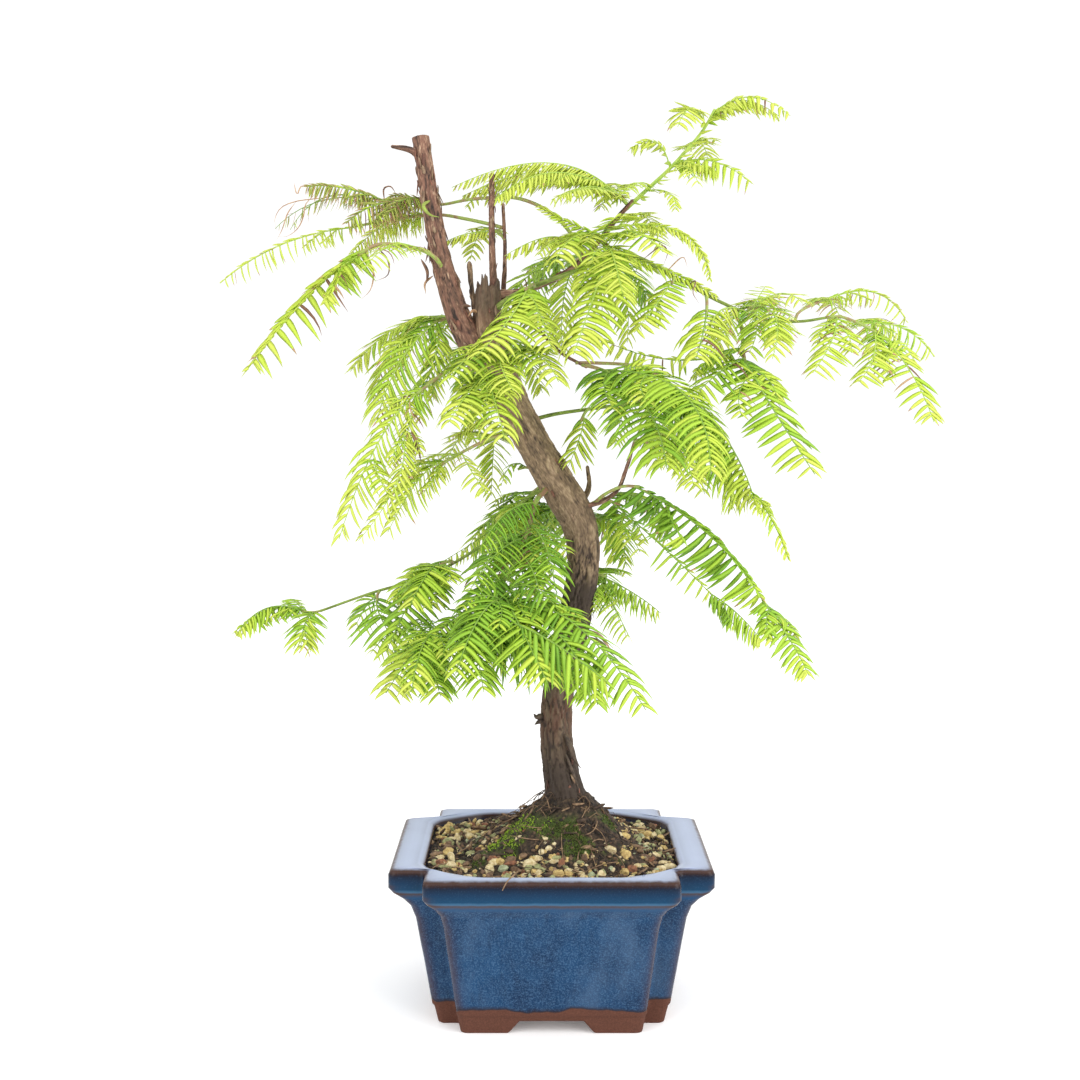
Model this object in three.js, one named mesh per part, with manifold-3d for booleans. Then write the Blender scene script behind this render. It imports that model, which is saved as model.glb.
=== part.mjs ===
// Dawn redwood bonsai in a glazed pot. Millimetres, +Z up, front of the pot toward -Y.
import * as THREE from "three";
import Module from "manifold-3d";

const wasm = await Module();
wasm.setup();
const { Manifold, Mesh } = wasm;

// Driving sizes.
const POT_HEIGHT = 76.5;
const POT_HALF_WIDTH = 75;
const POT_HALF_DEPTH = 60;
const RIM_NOTCH = 16;
const FOOT_HEIGHT = 6;
const FLOOR_TOP = 13;
const HOLLOW_CUT = [26, 15.5];
const SOIL_EDGE = 73.4;
const SOIL_CROWN = 101;
const TRUNK_CENTRE = [8.5, 0];
const GAP = 0.36;
const STEM_SIDES = 5;
const SPRAY_PITCH = 8.6;
const CORE_SIDES = 3;
const SPRAY_HALF_WIDTH = 1.0;
const SPRAY_HALF_THICKNESS = 0.42;
// How far a spray's point may go past its last ring, as shares of the shoot, longest first.
const TIP_REACHES = [0.06, 0.02, 0];

const UP = [0, 0, 1];
const OPEN = Math.PI / 12;
const DROOPING = Math.PI / 4;
const HANGING = (Math.PI * 7) / 18;
const add = (a, b) => [a[0] + b[0], a[1] + b[1], a[2] + b[2]];
const sub = (a, b) => [a[0] - b[0], a[1] - b[1], a[2] - b[2]];
const scale = (a, k) => [a[0] * k, a[1] * k, a[2] * k];
const cross = (a, b) => [a[1] * b[2] - a[2] * b[1], a[2] * b[0] - a[0] * b[2], a[0] * b[1] - a[1] * b[0]];
const length = (a) => Math.hypot(...a);
const unit = (a) => scale(a, 1 / length(a));
const mix = (a, b, t) => a + (b - a) * t;

// Even but irregular-looking spread in [-1, 1) from a whole number.
const vary = (k) => 2 * ((k * 0.61803398875) % 1) - 1;

function solid(positions, triangles) {
  const mesh = new Mesh({
    numProp: 3,
    vertProperties: new Float32Array(positions.flat()),
    triVerts: new Uint32Array(triangles.flat()),
  });
  mesh.merge();
  return Manifold.ofMesh(mesh);
}

// Closed solid through rings of equal corner count; both ends are fanned from their middle.
function loft(rings) {
  const sides = rings[0].length;
  const last = rings.length - 1;
  const positions = rings.flat();
  const triangles = [];
  for (let i = 0; i < last; i++) {
    for (let k = 0; k < sides; k++) {
      const a = i * sides + k;
      const b = i * sides + ((k + 1) % sides);
      triangles.push([a, b, b + sides], [a, b + sides, a + sides]);
    }
  }
  const middle = (ring) => scale(ring.reduce(add), 1 / sides);
  const start = positions.push(middle(rings[0])) - 1;
  const end = positions.push(middle(rings[last])) - 1;
  for (let k = 0; k < sides; k++) {
    const next = (k + 1) % sides;
    triangles.push([start, next, k], [end, last * sides + k, last * sides + next]);
  }
  return solid(positions, triangles);
}

// Smooth way through named points, with the tangent at each step.
function way(points, steps) {
  const curve = new THREE.CatmullRomCurve3(points.map((p) => new THREE.Vector3(...p)), false, "centripetal");
  return Array.from({ length: steps + 1 }, (_, i) => ({
    share: i / steps,
    at: curve.getPointAt(i / steps).toArray(),
    along: curve.getTangentAt(i / steps).toArray(),
  }));
}

// Tapering round limb; swell(share, angle) lets the trunk carry ridges and a root flare.
function limb({ points, radii, sides = 6, step = 13, swell = () => 1 }, grow = 0) {
  const span = points.slice(1).reduce((sum, p, i) => sum + length(sub(p, points[i])), 0);
  const stations = way(points, Math.max(3, Math.round(span / step)));
  let side = unit(cross(stations[0].along, [0.13, 0.98, 0.1]));
  const rings = stations.map(({ share, at, along }) => {
    side = unit(sub(side, scale(along, side[0] * along[0] + side[1] * along[1] + side[2] * along[2])));
    const other = cross(along, side);
    const place = share * (radii.length - 1);
    const low = Math.min(Math.floor(place), radii.length - 2);
    const radius = mix(radii[low], radii[low + 1], place - low);
    return Array.from({ length: sides }, (_, k) => {
      const angle = (2 * Math.PI * k) / sides;
      const reach = radius * swell(share, angle) + grow;
      return add(at, add(scale(side, reach * Math.cos(angle)), scale(other, reach * Math.sin(angle))));
    });
  });
  return loft(rings);
}

// Point and heading on a shoot given by its root, its half-way crest and its tip.
function onShoot([root, crest, tip], t) {
  const pull = sub(scale(crest, 2), scale(add(root, tip), 0.5));
  const a = (1 - t) * (1 - t);
  const b = 2 * t * (1 - t);
  const at = add(add(scale(root, a), scale(pull, b)), scale(tip, t * t));
  const along = unit(add(scale(sub(pull, root), 1 - t), scale(sub(tip, pull), t)));
  return { at, along };
}

const needleLength = (needle, t) => needle * (0.4 + 0.6 * Math.sin(Math.PI * (0.12 + 0.8 * t)));
const needleAngle = (t) => (mix(74, 42, t) * Math.PI) / 180;

// Way a needle leaves the shoot: forward, level to its side, and folded down from the shoot by gravity.
function needleWay(along, side, fold, angle) {
  const level = unit([side[0], side[1], 0.25 * side[2]]);
  const below = unit(sub([0, 0, -1], scale(along, -along[2])));
  const outward = add(scale(level, Math.cos(fold)), scale(below, Math.sin(fold)));
  return unit(add(scale(along, Math.cos(angle)), scale(outward, Math.sin(angle))));
}

const bounds = (item) => item.boundingBox();
const near = (a, b, room) => a.min.every((low, k) => low - room < b.max[k] && b.min[k] - room < a.max[k]);

function touches(points, others) {
  const probe = Manifold.hull(points);
  const box = bounds(probe);
  return others.some((other) => near(box, other.box, 1) && probe.minGap(other.shape, 1) < GAP + 0.04);
}

// Spray: a slim core with one pointed tooth each side at every step, left out where it would touch
// anything placed before it or another part of its own mass.
function spray({ line, needle, face = UP, fold = OPEN }, seed, placed, own) {
  const run = length(sub(line[1], line[0])) + length(sub(line[2], line[1]));
  const steps = Math.max(3, Math.round(run / SPRAY_PITCH));
  const rings = [];
  for (let i = 0; i <= steps; i++) {
    const t = (0.94 * i) / steps;
    const { at, along } = onShoot(line, t);
    const side = unit(cross(along, face));
    const top = cross(side, along);
    const width = SPRAY_HALF_WIDTH * (1 - 0.45 * t);
    const thick = SPRAY_HALF_THICKNESS * (1 - 0.35 * t);
    const corner = (s, u) => add(at, add(scale(side, s * width), scale(top, u * thick)));
    rings.push({ t, side, corners: [corner(1, 1), corner(-1, 1), corner(0, -1.4)] });
  }
  const positions = [];
  const triangles = [];
  const put = (p) => positions.push(p) - 1;
  let low = rings[0].corners.map(put);
  triangles.push(low);
  let end = 0;
  for (let i = 0; i < steps; i++) {
    const core = [...rings[i].corners, ...rings[i + 1].corners];
    if (i > 0 && touches(core, placed)) break;
    const high = rings[i + 1].corners.map(put);
    const t = (rings[i].t + rings[i + 1].t) / 2;
    const here = onShoot(line, t);
    for (let k = 0; k < CORE_SIDES; k++) {
      const next = (k + 1) % CORE_SIDES;
      const [a, b, c, d] = [low[k], low[next], high[k], high[next]];
      const toward = k === 2 ? 1 : -1;
      const number = 17 * seed + 2 * i + (k === 2 ? 0 : 1);
      const angle = needleAngle(t) * (1 + 0.08 * vary(3 * number));
      const reach = needleLength(needle, t) * (1 + 0.1 * vary(number));
      const heading = needleWay(here.along, scale(rings[i].side, toward), fold, angle);
      const tip = add(here.at, scale(heading, reach));
      const base = [a, c, d, b].map((n) => positions[n]);
      if (k > 0 && i > 0 && !touches([...base, tip], placed) && !touches([...base, tip], own)) {
        const n = put(tip);
        triangles.push([a, c, n], [c, d, n], [d, b, n], [b, a, n]);
      } else {
        triangles.push([a, c, d], [a, d, b]);
      }
    }
    low = high;
    end = i + 1;
  }
  const ring = low.map((n) => positions[n]);
  const beyond = (more) => onShoot(line, rings[end].t + more).at;
  const tip = put(beyond(TIP_REACHES.find((more) => !more || !touches([...ring, beyond(more)], placed))));
  low.forEach((corner, k) => triangles.push([corner, tip, low[(k + 1) % CORE_SIDES]]));
  return solid(positions, triangles);
}

// Mirrors the corner points of one quarter round the four quarters, anticlockwise.
function aroundFour(quarter, z) {
  const flip = (points, sx, sy) => points.map(([px, py]) => [px * sx, py * sy, z]);
  return [
    ...flip(quarter, 1, 1),
    ...flip([...quarter].reverse(), -1, 1),
    ...flip(quarter, -1, -1),
    ...flip([...quarter].reverse(), 1, -1),
  ];
}

// Plan outline of the pot: a rectangle with a square bite out of each corner, outer corners eased.
function notched(halfWidth, halfDepth, bite, ease, z) {
  const x = halfWidth;
  const y = halfDepth;
  const quarter = [
    [x, y - bite - ease],
    [x - ease, y - bite],
    [x - bite, y - bite],
    [x - bite, y - ease],
    [x - bite - ease, y],
  ];
  return aroundFour(quarter, z);
}

// Plan outline of the hollow: a rectangle whose corners are cut off to clear the bites outside.
function cornered(halfWidth, halfDepth, z) {
  const quarter = [
    [0, 1.3],
    [0.14, 0.86],
    [0.86, 0.14],
    [1.15, 0],
  ].map(([u, v]) => [halfWidth - u * HOLLOW_CUT[0], halfDepth - v * HOLLOW_CUT[1]]);
  return aroundFour(quarter, z);
}

// Height, half width, half depth and corner bite, from the foot up to the rim.
const POT_LEVELS = [
  [0, 53, 44.8, 11, 3],
  [8, 54.8, 46, 11.5, 3.2],
  [9, 55.8, 46.6, 12, 3.6],
  [32, 59.6, 49.8, 13, 3.8],
  [52, 62.8, 52.8, 13.8, 3.8],
  [58, 65, 54.6, 14.6, 3.8],
  [62, 68.6, 57, 15.6, 3.8],
  [65, 73, 59, 16.6, 3.6],
  [67.5, POT_HALF_WIDTH, POT_HALF_DEPTH, RIM_NOTCH + 1, 3.4],
  [73.5, POT_HALF_WIDTH, POT_HALF_DEPTH, RIM_NOTCH + 1, 3.4],
  [75.6, 74, 59, RIM_NOTCH + 0.6, 3],
  [POT_HEIGHT, 71.6, 56.6, RIM_NOTCH, 2.8],
];

// Height, half width and half depth of the hollow.
const HOLLOW_LEVELS = [
  [FLOOR_TOP, 46, 39.5],
  [45, 52, 44],
  [70, 58, 50],
  [75, 58.8, 51.2],
  [POT_HEIGHT + 0.5, 60.6, 52.8],
];

function hollow(shrink, bottom, top) {
  const inside = HOLLOW_LEVELS.filter(([z]) => z > bottom && z < top);
  const at = (z) => {
    const i = Math.max(1, HOLLOW_LEVELS.findIndex(([level]) => level >= z));
    const [z0, x0, y0] = HOLLOW_LEVELS[i - 1];
    const [z1, x1, y1] = HOLLOW_LEVELS[i];
    const t = (z - z0) / (z1 - z0);
    return [z, mix(x0, x1, t), mix(y0, y1, t)];
  };
  return [at(bottom), ...inside, at(top)].map(([z, x, y]) => cornered(x - shrink, y - shrink, z));
}

function makePot() {
  const body = loft(POT_LEVELS.map(([z, x, y, bite, ease]) => notched(x, y, bite, ease, z)));
  const wedge = (low, high, half) => {
    const across = (x, z) => [[x, -half, z], [x, half, z], [-x, half, z], [-x, -half, z]];
    return loft([across(low, -1), across(high, FOOT_HEIGHT)]);
  };
  const across = wedge(20.6, 14.5, 80);
  const along = wedge(15.6, 10, 80).rotate([0, 0, 90]);
  const recess = Manifold.cube([76, 62, 2 * FOOT_HEIGHT], true);
  const inside = loft(hollow(0, FLOOR_TOP, POT_HEIGHT + 0.5));
  return body.subtract(inside).subtract(Manifold.union([across, along, recess]));
}

// Soil filling the pot, heaped round the foot of the trunk.
function makeSoil() {
  const wall = hollow(GAP, FLOOR_TOP + GAP, SOIL_EDGE);
  const edge = wall[wall.length - 1];
  const heap = [0.2, 0.35, 0.5, 0.66, 0.83, 1].map((share) =>
    edge.map(([x, y]) => {
      const angle = Math.atan2(y, x);
      const foot = [TRUNK_CENTRE[0] + 12.5 * Math.cos(angle), TRUNK_CENTRE[1] + 12.5 * Math.sin(angle)];
      const rise = Math.max(0, (share - 0.3) / 0.7) ** 1.3;
      return [mix(x, foot[0], share), mix(y, foot[1], share), mix(SOIL_EDGE, SOIL_CROWN, rise)];
    }),
  );
  return loft([...wall, ...heap]);
}

const flare = (share, angle) => {
  const ridges = 0.06 * Math.cos(3 * angle + 9 * share) + 0.05 * Math.cos(5 * angle - 14 * share);
  return 1 + ridges + 0.2 * Math.exp(-share * 24);
};

const LIMBS = {
  trunk: {
    points: [
      [9.5, 0, 91], [6, 0, 107], [3, 1, 124], [2.5, 1, 146], [7, 2, 170], [13, 3, 195], [15.5, 4, 214],
      [13.5, 4, 232], [1, 2, 254], [-12, 2, 276], [-24, 4, 300], [-30, 6, 325], [-30, 8, 343],
    ],
    radii: [9, 8.2, 7.6, 7.4, 7.8, 7.8, 7.8, 8.6, 8.2, 8, 8.2, 7.6, 5.6],
    sides: 11,
    step: 10.5,
    swell: flare,
    material: "bark",
  },
  sawn_trunk: {
    points: [[-32, 4, 307], [-42, 4, 325], [-51, 7, 352], [-57, 11, 382], [-62, 15, 414]],
    radii: [6, 5.6, 4.6, 4.3, 4.1],
    sides: 9,
    material: "red_bark",
  },
  sawn_side_twig: {
    points: [[-60.5, 14, 404], [-66, 12, 407.5], [-75, 10, 409]],
    radii: [2, 1.5, 0.8],
    step: 5,
    material: "red_bark",
  },
  dead_stick_long: {
    points: [[-27, 8, 338], [-28, 9, 361], [-28, 10, 396]],
    radii: [2.2, 1.9, 1.6],
    material: "red_bark",
  },
  dead_stick_short: {
    points: [[-23, 12, 336], [-22, 15, 361], [-23, 16, 383]],
    radii: [1.4, 1, 0.8],
    material: "red_bark",
  },
  dead_stub: {
    points: [[-36, 10, 332], [-38, 12, 342], [-39, 13, 355]],
    radii: [1.6, 1.5, 1.3],
    step: 6,
    material: "bark",
  },
  leader_bough: {
    points: [[-28, 9, 340], [-12, 9, 342], [10, 6, 352], [23, 4, 365], [31, 2, 375], [38, 1, 382.5]],
    radii: [1.8, 1.5, 1.4, 1.3, 1.2, 1.1],
    material: "red_bark",
  },
  right_bough: {
    points: [
      [-28, 5, 332], [-17, 0, 339], [-7.5, -4, 343], [4, -8, 347], [22.5, -9, 353.5], [32.5, -10, 357],
      [42, -11, 354.5], [52.5, -12, 348.5], [63, -12, 343], [76.5, -13, 335.5], [98, -14, 327],
      [114, -14, 326], [128, -14, 328],
    ],
    radii: [1.5, 1.2, 1.1, 1, 0.9, 0.9, 0.8, 0.8, 0.7, 0.7, 0.6],
    material: "green_stem",
  },
  mid_right_twig: {
    points: [[-28, 2, 326], [-14, -8, 327], [-5, -12, 321], [4, -15, 312], [16, -18, 305]],
    radii: [1.2, 1, 0.9, 0.8, 0.7],
    material: "red_bark",
  },
  back_right_twig: {
    points: [[-14, 6, 279], [0, 9, 283], [20, 9, 286], [42, 7, 289]],
    radii: [1.1, 0.9, 0.8, 0.7],
    material: "green_stem",
  },
  low_right_twig: {
    points: [[12, 2, 238], [25, -4, 243], [31, -8, 248], [35, -14, 259], [39, -20, 274]],
    radii: [1.4, 1.2, 1, 0.9, 0.7],
    material: "red_bark",
  },
  dead_stub_right: {
    points: [[12, 5, 238], [18, 9, 248], [17.5, 11, 258]],
    radii: [1.5, 1.3, 1],
    step: 6,
    material: "bark",
  },
  low_left_bough: {
    points: [
      [0, 1, 250], [-7, -8, 243], [-10, -12, 233], [-15, -15, 220], [-27, -18, 199], [-36, -19, 193],
      [-51, -20, 184.5],
    ],
    radii: [1.5, 1.2, 1, 0.9, 0.9, 0.8, 0.7],
    material: "green_stem",
  },
  low_left_twig: {
    points: [
      [0, 6, 250], [-14, 12, 241], [-28, 12, 224], [-38, 11, 217], [-50, 9, 210], [-63, 8, 204],
      [-85, 6, 198], [-111, 4, 189],
    ],
    radii: [1.2, 0.9, 0.8, 0.75, 0.7, 0.7, 0.6, 0.6],
    material: "green_stem",
  },
  left_twig: {
    points: [[-27, 3, 313], [-42, -6, 307], [-49, -8, 304], [-55, -10, 297]],
    radii: [1.1, 0.9, 0.8, 0.7],
    material: "green_stem",
  },
};

const FLAT = [0, -0.35, 1];
const TILTED = [0, -0.8, 0.8];
const FRONT = [0, -1, 0.3];
const BACK = [0, 0.5, 1];

// Masses of foliage. Each has one stem from its limb, and sprays by root, half-way crest and tip.
const MASSES = {
  crown_leader: {
    stem: [[35, 1.5, 379], [45, 0, 388], [55, -2, 397], [70, -4, 414], [75, -6, 423]],
    thick: [1, 0.6],
    sprays: [
      { line: [[71, -4, 416], [88, -10, 427.5], [108, -16, 418]], needle: 8, face: FLAT, fold: HANGING },
      { line: [[71, -4, 416], [63.5, -14, 422], [56.5, -22, 412]], needle: 12, face: TILTED },
      { line: [[57, -2, 399], [74, -9, 399], [91, -16, 388]], needle: 12, face: FLAT, fold: HANGING },
      { line: [[55, -2, 397], [48, 1, 409.5], [35.5, 6, 406]], needle: 8, face: FLAT, fold: DROOPING },
      { line: [[44, 0, 387], [54, -8, 385], [57, -11, 377]], needle: 6, face: FLAT },
      { line: [[62, -3, 405], [70, 12, 412], [76, 26, 404]], needle: 10, face: BACK },
    ],
  },
  arch_left: {
    stem: [[36, 1.6, 380.5], [30, 6, 387], [21, 5, 392]],
    thick: [0.9, 0.7],
    sprays: [
      { line: [[29, 5.4, 387.6], [-3, 7, 401], [-47, 10, 390]], needle: 10, face: FLAT, fold: DROOPING },
      { line: [[21.5, 5, 391.6], [-3, -6, 394], [-26, -14, 381]], needle: 10, face: FLAT, fold: DROOPING },
      { line: [[34, 3.6, 383.2], [20, -14, 386], [3, -24, 381]], needle: 9, face: TILTED },
      { line: [[25, 5.4, 390], [-12, 26, 402], [-42, 38, 384]], needle: 9, face: BACK },
      { line: [[32, 4.5, 385.2], [30, 26, 394], [24, 46, 384]], needle: 9, face: BACK },
    ],
  },
  upper_left_high: {
    stem: [
      [16, 6, 357], [10, 12, 368], [1, 14, 378], [-16, 17, 386], [-39, 21, 386], [-54, 24, 384],
      [-66, 22, 386], [-82, 20, 385],
    ],
    thick: [1, 0.6],
    sprays: [
      { line: [[-79, 20, 385], [-100, 18, 391], [-117, 15, 391]], needle: 9, face: FLAT, fold: HANGING },
      { line: [[-79, 20, 385], [-110, 24, 386], [-134, 28, 373]], needle: 9, face: FLAT, fold: DROOPING },
      { line: [[-62, 22, 385], [-82, 15, 383], [-97, 9, 373]], needle: 13, face: FLAT, fold: HANGING },
      { line: [[-64, 22, 386], [-78, 40, 388], [-88, 56, 376]], needle: 10, face: BACK },
    ],
  },
  upper_left_long: {
    stem: [[-23, 16, 372], [-29, 19, 374], [-42, 21, 377], [-54, 23, 379], [-77, 25, 377], [-96, 22, 373]],
    thick: [0.9, 0.6],
    sprays: [
      { line: [[-94, 22, 373], [-128, 14, 364], [-157, 8, 345]], needle: 10, face: FLAT, fold: HANGING },
      { line: [[-60, 23, 379], [-80, 38, 377], [-100, 48, 363]], needle: 12, face: FLAT, fold: HANGING },
    ],
  },
  upper_left_low: {
    stem: [[-51, 5, 351], [-54, -1, 356], [-59, -4, 359], [-70, -9, 361], [-80, -12, 361], [-89, -14, 356]],
    thick: [1.1, 0.8],
    sprays: [
      { line: [[-85, -13, 358], [-111, -16, 338], [-141, -14, 303]], needle: 18, face: FLAT, fold: HANGING },
      { line: [[-60, -4, 359], [-73, -18, 360], [-84, -30, 348]], needle: 12, face: TILTED },
    ],
  },
  stick_spray: {
    stem: [[-22, 15, 366], [-25, 17, 370], [-30, 18, 371]],
    thick: [0.8, 0.6],
    sprays: [
      { line: [[-26, 17, 370], [-40, 14, 369], [-52, 13.5, 364]], needle: 7, face: FLAT, fold: DROOPING },
      { line: [[-25, 17, 370], [-34, 32, 372], [-40, 46, 360]], needle: 9, face: BACK },
    ],
  },
  upper_centre: {
    stem: [[14, 5, 355], [12, 3, 361], [4, 3, 365]],
    thick: [0.8, 0.6],
    sprays: [
      { line: [[10, 3, 362], [-2, 2, 366], [-22, 0, 357]], needle: 9, face: FLAT, fold: DROOPING },
      { line: [[12, 3, 360], [4, -8, 364], [-6, -16, 356]], needle: 8, face: FLAT },
    ],
  },
  left_upper: {
    stem: [[-34, 9, 327], [-40, 17, 330], [-46, 16, 330], [-56, 12, 327]],
    thick: [1, 0.7],
    sprays: [
      { line: [[-53, 13, 328.5], [-71, 4, 309], [-82, -4, 280]], needle: 19, face: FRONT },
      { line: [[-50, 14, 329.5], [-64, 44, 326], [-78, 70, 300]], needle: 16, face: BACK },
      { line: [[-52, 14, 329], [-76, 18, 324], [-98, 26, 304]], needle: 14, face: BACK },
    ],
  },
  left_mid: {
    stem: [[-51, -9, 302], [-56, -11, 298], [-62, -14, 293]],
    thick: [0.8, 0.7],
    sprays: [
      { line: [[-58, -12, 296], [-79, -18, 272], [-98, -22, 226]], needle: 16, face: FRONT },
      { line: [[-70, -15, 280], [-69, -30, 256], [-87, -38, 227]], needle: 10, face: FRONT },
      { line: [[-82, -18, 263], [-79, -27, 256], [-73, -36, 246]], needle: 8, face: TILTED },
    ],
  },
  left_back: {
    stem: [[-12, 0, 278], [-18, 0, 275], [-29, -4, 272], [-43, -6, 265], [-55, -8, 258]],
    thick: [0.9, 0.6],
    sprays: [
      { line: [[-50, -7, 261], [-62, -8, 253], [-77, -8, 228]], needle: 14, face: FRONT },
      { line: [[-20, 0, 274], [-34, 6, 281], [-46, 12, 271]], needle: 9, face: FLAT, fold: DROOPING },
      { line: [[-42, -6, 265.5], [-37, -15, 257], [-30, -19, 247]], needle: 9, face: TILTED },
      { line: [[-30, -4, 272], [-44, 24, 272], [-56, 48, 250]], needle: 13, face: BACK },
    ],
  },
  trunk_tuft: {
    stem: [[-5, 4, 256], [-12, 7, 258], [-16, 7, 257]],
    thick: [0.8, 0.6],
    sprays: [
      { line: [[-12, 7, 258], [-19, 6, 259], [-24, 5, 249]], needle: 7, face: FLAT },
    ],
  },
  front_hang: {
    stem: [[-7.5, -4, 343], [-9, -11, 343], [-12, -18, 340]],
    thick: [0.9, 0.7],
    sprays: [
      { line: [[-11, -16, 341], [-19, -28, 326.5], [-33, -36, 310]], needle: 17, face: FRONT },
      { line: [[-10.5, -15, 341.5], [-4.5, -27, 326.5], [0, -34, 312]], needle: 12, face: FRONT },
    ],
  },
  front_head: {
    stem: [[-26, 2, 318], [-24, -8, 314], [-22, -17, 311]],
    thick: [0.9, 0.7],
    sprays: [
      { line: [[-22, -15, 311.5], [-8, -27, 312], [3, -35, 298]], needle: 14, face: TILTED },
      { line: [[-22, -15, 311.5], [-34, -25, 312], [-46, -33, 299]], needle: 15, face: TILTED },
      { line: [[-22, -14, 311.5], [-23, -34, 306], [-17, -46, 294]], needle: 14, face: FRONT },
    ],
  },
  front_fall: {
    stem: [[-26, 2, 303], [-29, -12, 304], [-30, -22, 302]],
    thick: [0.9, 0.7],
    sprays: [
      { line: [[-30, -21, 302.2], [-26, -34, 291], [-21, -44, 273]], needle: 16, face: FRONT },
      { line: [[-29.5, -16, 303], [-37, -32, 294], [-46, -42, 280]], needle: 14, face: FRONT },
    ],
  },
  right_hang: {
    stem: [[23, 3.6, 365], [22, -6, 366], [24, -14, 362], [27, -20, 358]],
    thick: [1, 0.7],
    sprays: [
      { line: [[26.5, -19, 358.5], [18, -34, 334], [9.5, -40, 310]], needle: 18, face: FRONT },
      { line: [[24.5, -15, 361.5], [36, -28, 365], [49, -38, 355]], needle: 15, face: TILTED },
      { line: [[22.5, -9, 364.5], [10.5, -22, 363.5], [1, -28, 351]], needle: 14, face: TILTED },
      { line: [[25.5, -17, 360], [27, -42, 352], [30, -56, 336]], needle: 14, face: FRONT },
      { line: [[22.5, -10, 364.5], [27, -26, 370], [33, -36, 372]], needle: 12, face: TILTED },
      { line: [[21.8, -7, 366], [8, -6, 372], [-5.5, -2, 380]], needle: 6, face: FLAT, fold: DROOPING },
    ],
  },
  right_arch: {
    stem: [[26, 3.2, 369], [30, -1, 370], [34, -3, 371]],
    thick: [0.8, 0.7],
    sprays: [
      { line: [[32, -2.2, 370.5], [61, -9, 366], [73, -14, 344.5]], needle: 6, face: FLAT, fold: DROOPING },
      { line: [[31, -1.6, 370.3], [44, 16, 378], [54, 34, 364]], needle: 10, face: BACK },
    ],
  },
  right_small: {
    stem: [[56, -12, 346.8], [56, -15, 345.5], [55, -18, 343]],
    thick: [0.8, 0.7],
    sprays: [
      { line: [[55.5, -16, 344.5], [48, -23, 334], [37, -30, 320]], needle: 11, face: FRONT },
    ],
  },
  right_fan: {
    stem: [[71, -12.6, 338.7], [71, -17, 335], [70.5, -21, 328]],
    thick: [0.8, 0.7],
    sprays: [
      { line: [[70.7, -19, 331], [68, -30, 320], [64, -37, 308]], needle: 16, face: FRONT },
    ],
  },
  right_crest: {
    stem: [[90, -13, 329.5], [91, -16, 332], [94, -18, 333]],
    thick: [0.8, 0.7],
    sprays: [
      { line: [[93, -17.5, 333], [104, -24, 338], [112, -32, 333]], needle: 12, face: TILTED },
      { line: [[92, -17, 332.5], [96, -10, 338], [100, -2, 343]], needle: 9, face: FRONT },
      { line: [[93, -17.5, 333], [100, -34, 326], [97, -44, 308]], needle: 11, face: FRONT },
      { line: [[91, -16, 332], [102, 16, 337], [112, 44, 320]], needle: 13, face: BACK },
    ],
  },
  far_right_upper: {
    stem: [[112, -14, 326], [114, -10, 330], [121, -7, 334], [130, -5, 337]],
    thick: [0.7, 0.6],
    sprays: [
      { line: [[127, -6, 336], [150, -4, 340], [165, -8, 326]], needle: 9, face: FLAT, fold: HANGING },
      { line: [[119, -8, 333], [133, 14, 338], [144, 32, 324]], needle: 11, face: BACK },
    ],
  },
  far_right_tip: {
    stem: [[126, -14, 327.8], [133, -15, 328], [141, -16, 325], [152, -18, 319]],
    thick: [0.7, 0.6],
    sprays: [
      { line: [[142, -16, 324.5], [162, -12, 323], [178, -8, 310]], needle: 11, face: FLAT, fold: HANGING },
      { line: [[148, -17.5, 321], [145, -28, 309], [137, -36, 298]], needle: 12, face: FRONT },
      { line: [[131, -14.8, 328], [126, -28, 316], [116, -38, 302]], needle: 14, face: FRONT },
      { line: [[150, -18, 320], [163, -24, 303], [173, -29, 280]], needle: 13, face: FRONT },
      { line: [[142, -16, 324.5], [152, 8, 326], [160, 26, 308]], needle: 11, face: BACK },
    ],
  },
  right_swing: {
    stem: [[84, -13, 332], [87, -18, 322], [87, -22, 314], [88, -25, 306]],
    thick: [0.8, 0.7],
    sprays: [
      { line: [[88, -24.5, 308], [98, -34, 288], [117, -42, 257]], needle: 19, face: FRONT },
      { line: [[87, -22, 313], [54, -16.5, 308.5], [18, -10, 320.5]], needle: 9, face: FLAT, fold: HANGING },
      { line: [[87.3, -22, 313], [76, -19, 311], [64, -15, 300]], needle: 11, face: FLAT },
    ],
  },
  front_right: {
    stem: [[14, -17.5, 306], [19, -20, 305], [27, -27, 302]],
    thick: [0.9, 0.8],
    sprays: [
      { line: [[22, -23, 304], [41, -44, 288], [50, -56, 260]], needle: 24, face: FRONT },
      { line: [[25, -25, 303], [57, -60, 292], [66, -80, 258]], needle: 17, face: FRONT },
    ],
  },
  front_right_fall: {
    stem: [[11, -17.2, 307], [20, -16, 307], [41, -18, 305], [53, -18, 299]],
    thick: [0.8, 0.7],
    sprays: [
      { line: [[51, -18, 300], [77, -24, 276], [92, -30, 245]], needle: 24, face: FLAT, fold: HANGING },
      { line: [[90, -29.3, 249], [99, -33, 237], [107, -36, 218]], needle: 7, face: FLAT },
      { line: [[64, -20.5, 291], [82, -8, 266], [86, 2, 238]], needle: 14, face: FLAT, fold: DROOPING },
    ],
  },
  front_right_under: {
    stem: [[38, -20, 271], [41, -25, 272], [47, -27, 268]],
    thick: [0.7, 0.6],
    sprays: [
      { line: [[44, -26.5, 270], [58, -30, 266], [64, -34, 250]], needle: 12, face: FRONT },
      { line: [[43, -26, 271], [60, -14, 268], [72, -8, 246]], needle: 13, face: FRONT },
    ],
  },
  back_right: {
    stem: [[18, 9, 286], [16, 4, 284], [14, 2, 280]],
    thick: [0.8, 0.7],
    sprays: [
      { line: [[15.5, 3, 282.5], [14, 0, 274], [8, -6, 259]], needle: 13, face: FRONT },
    ],
  },
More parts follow.
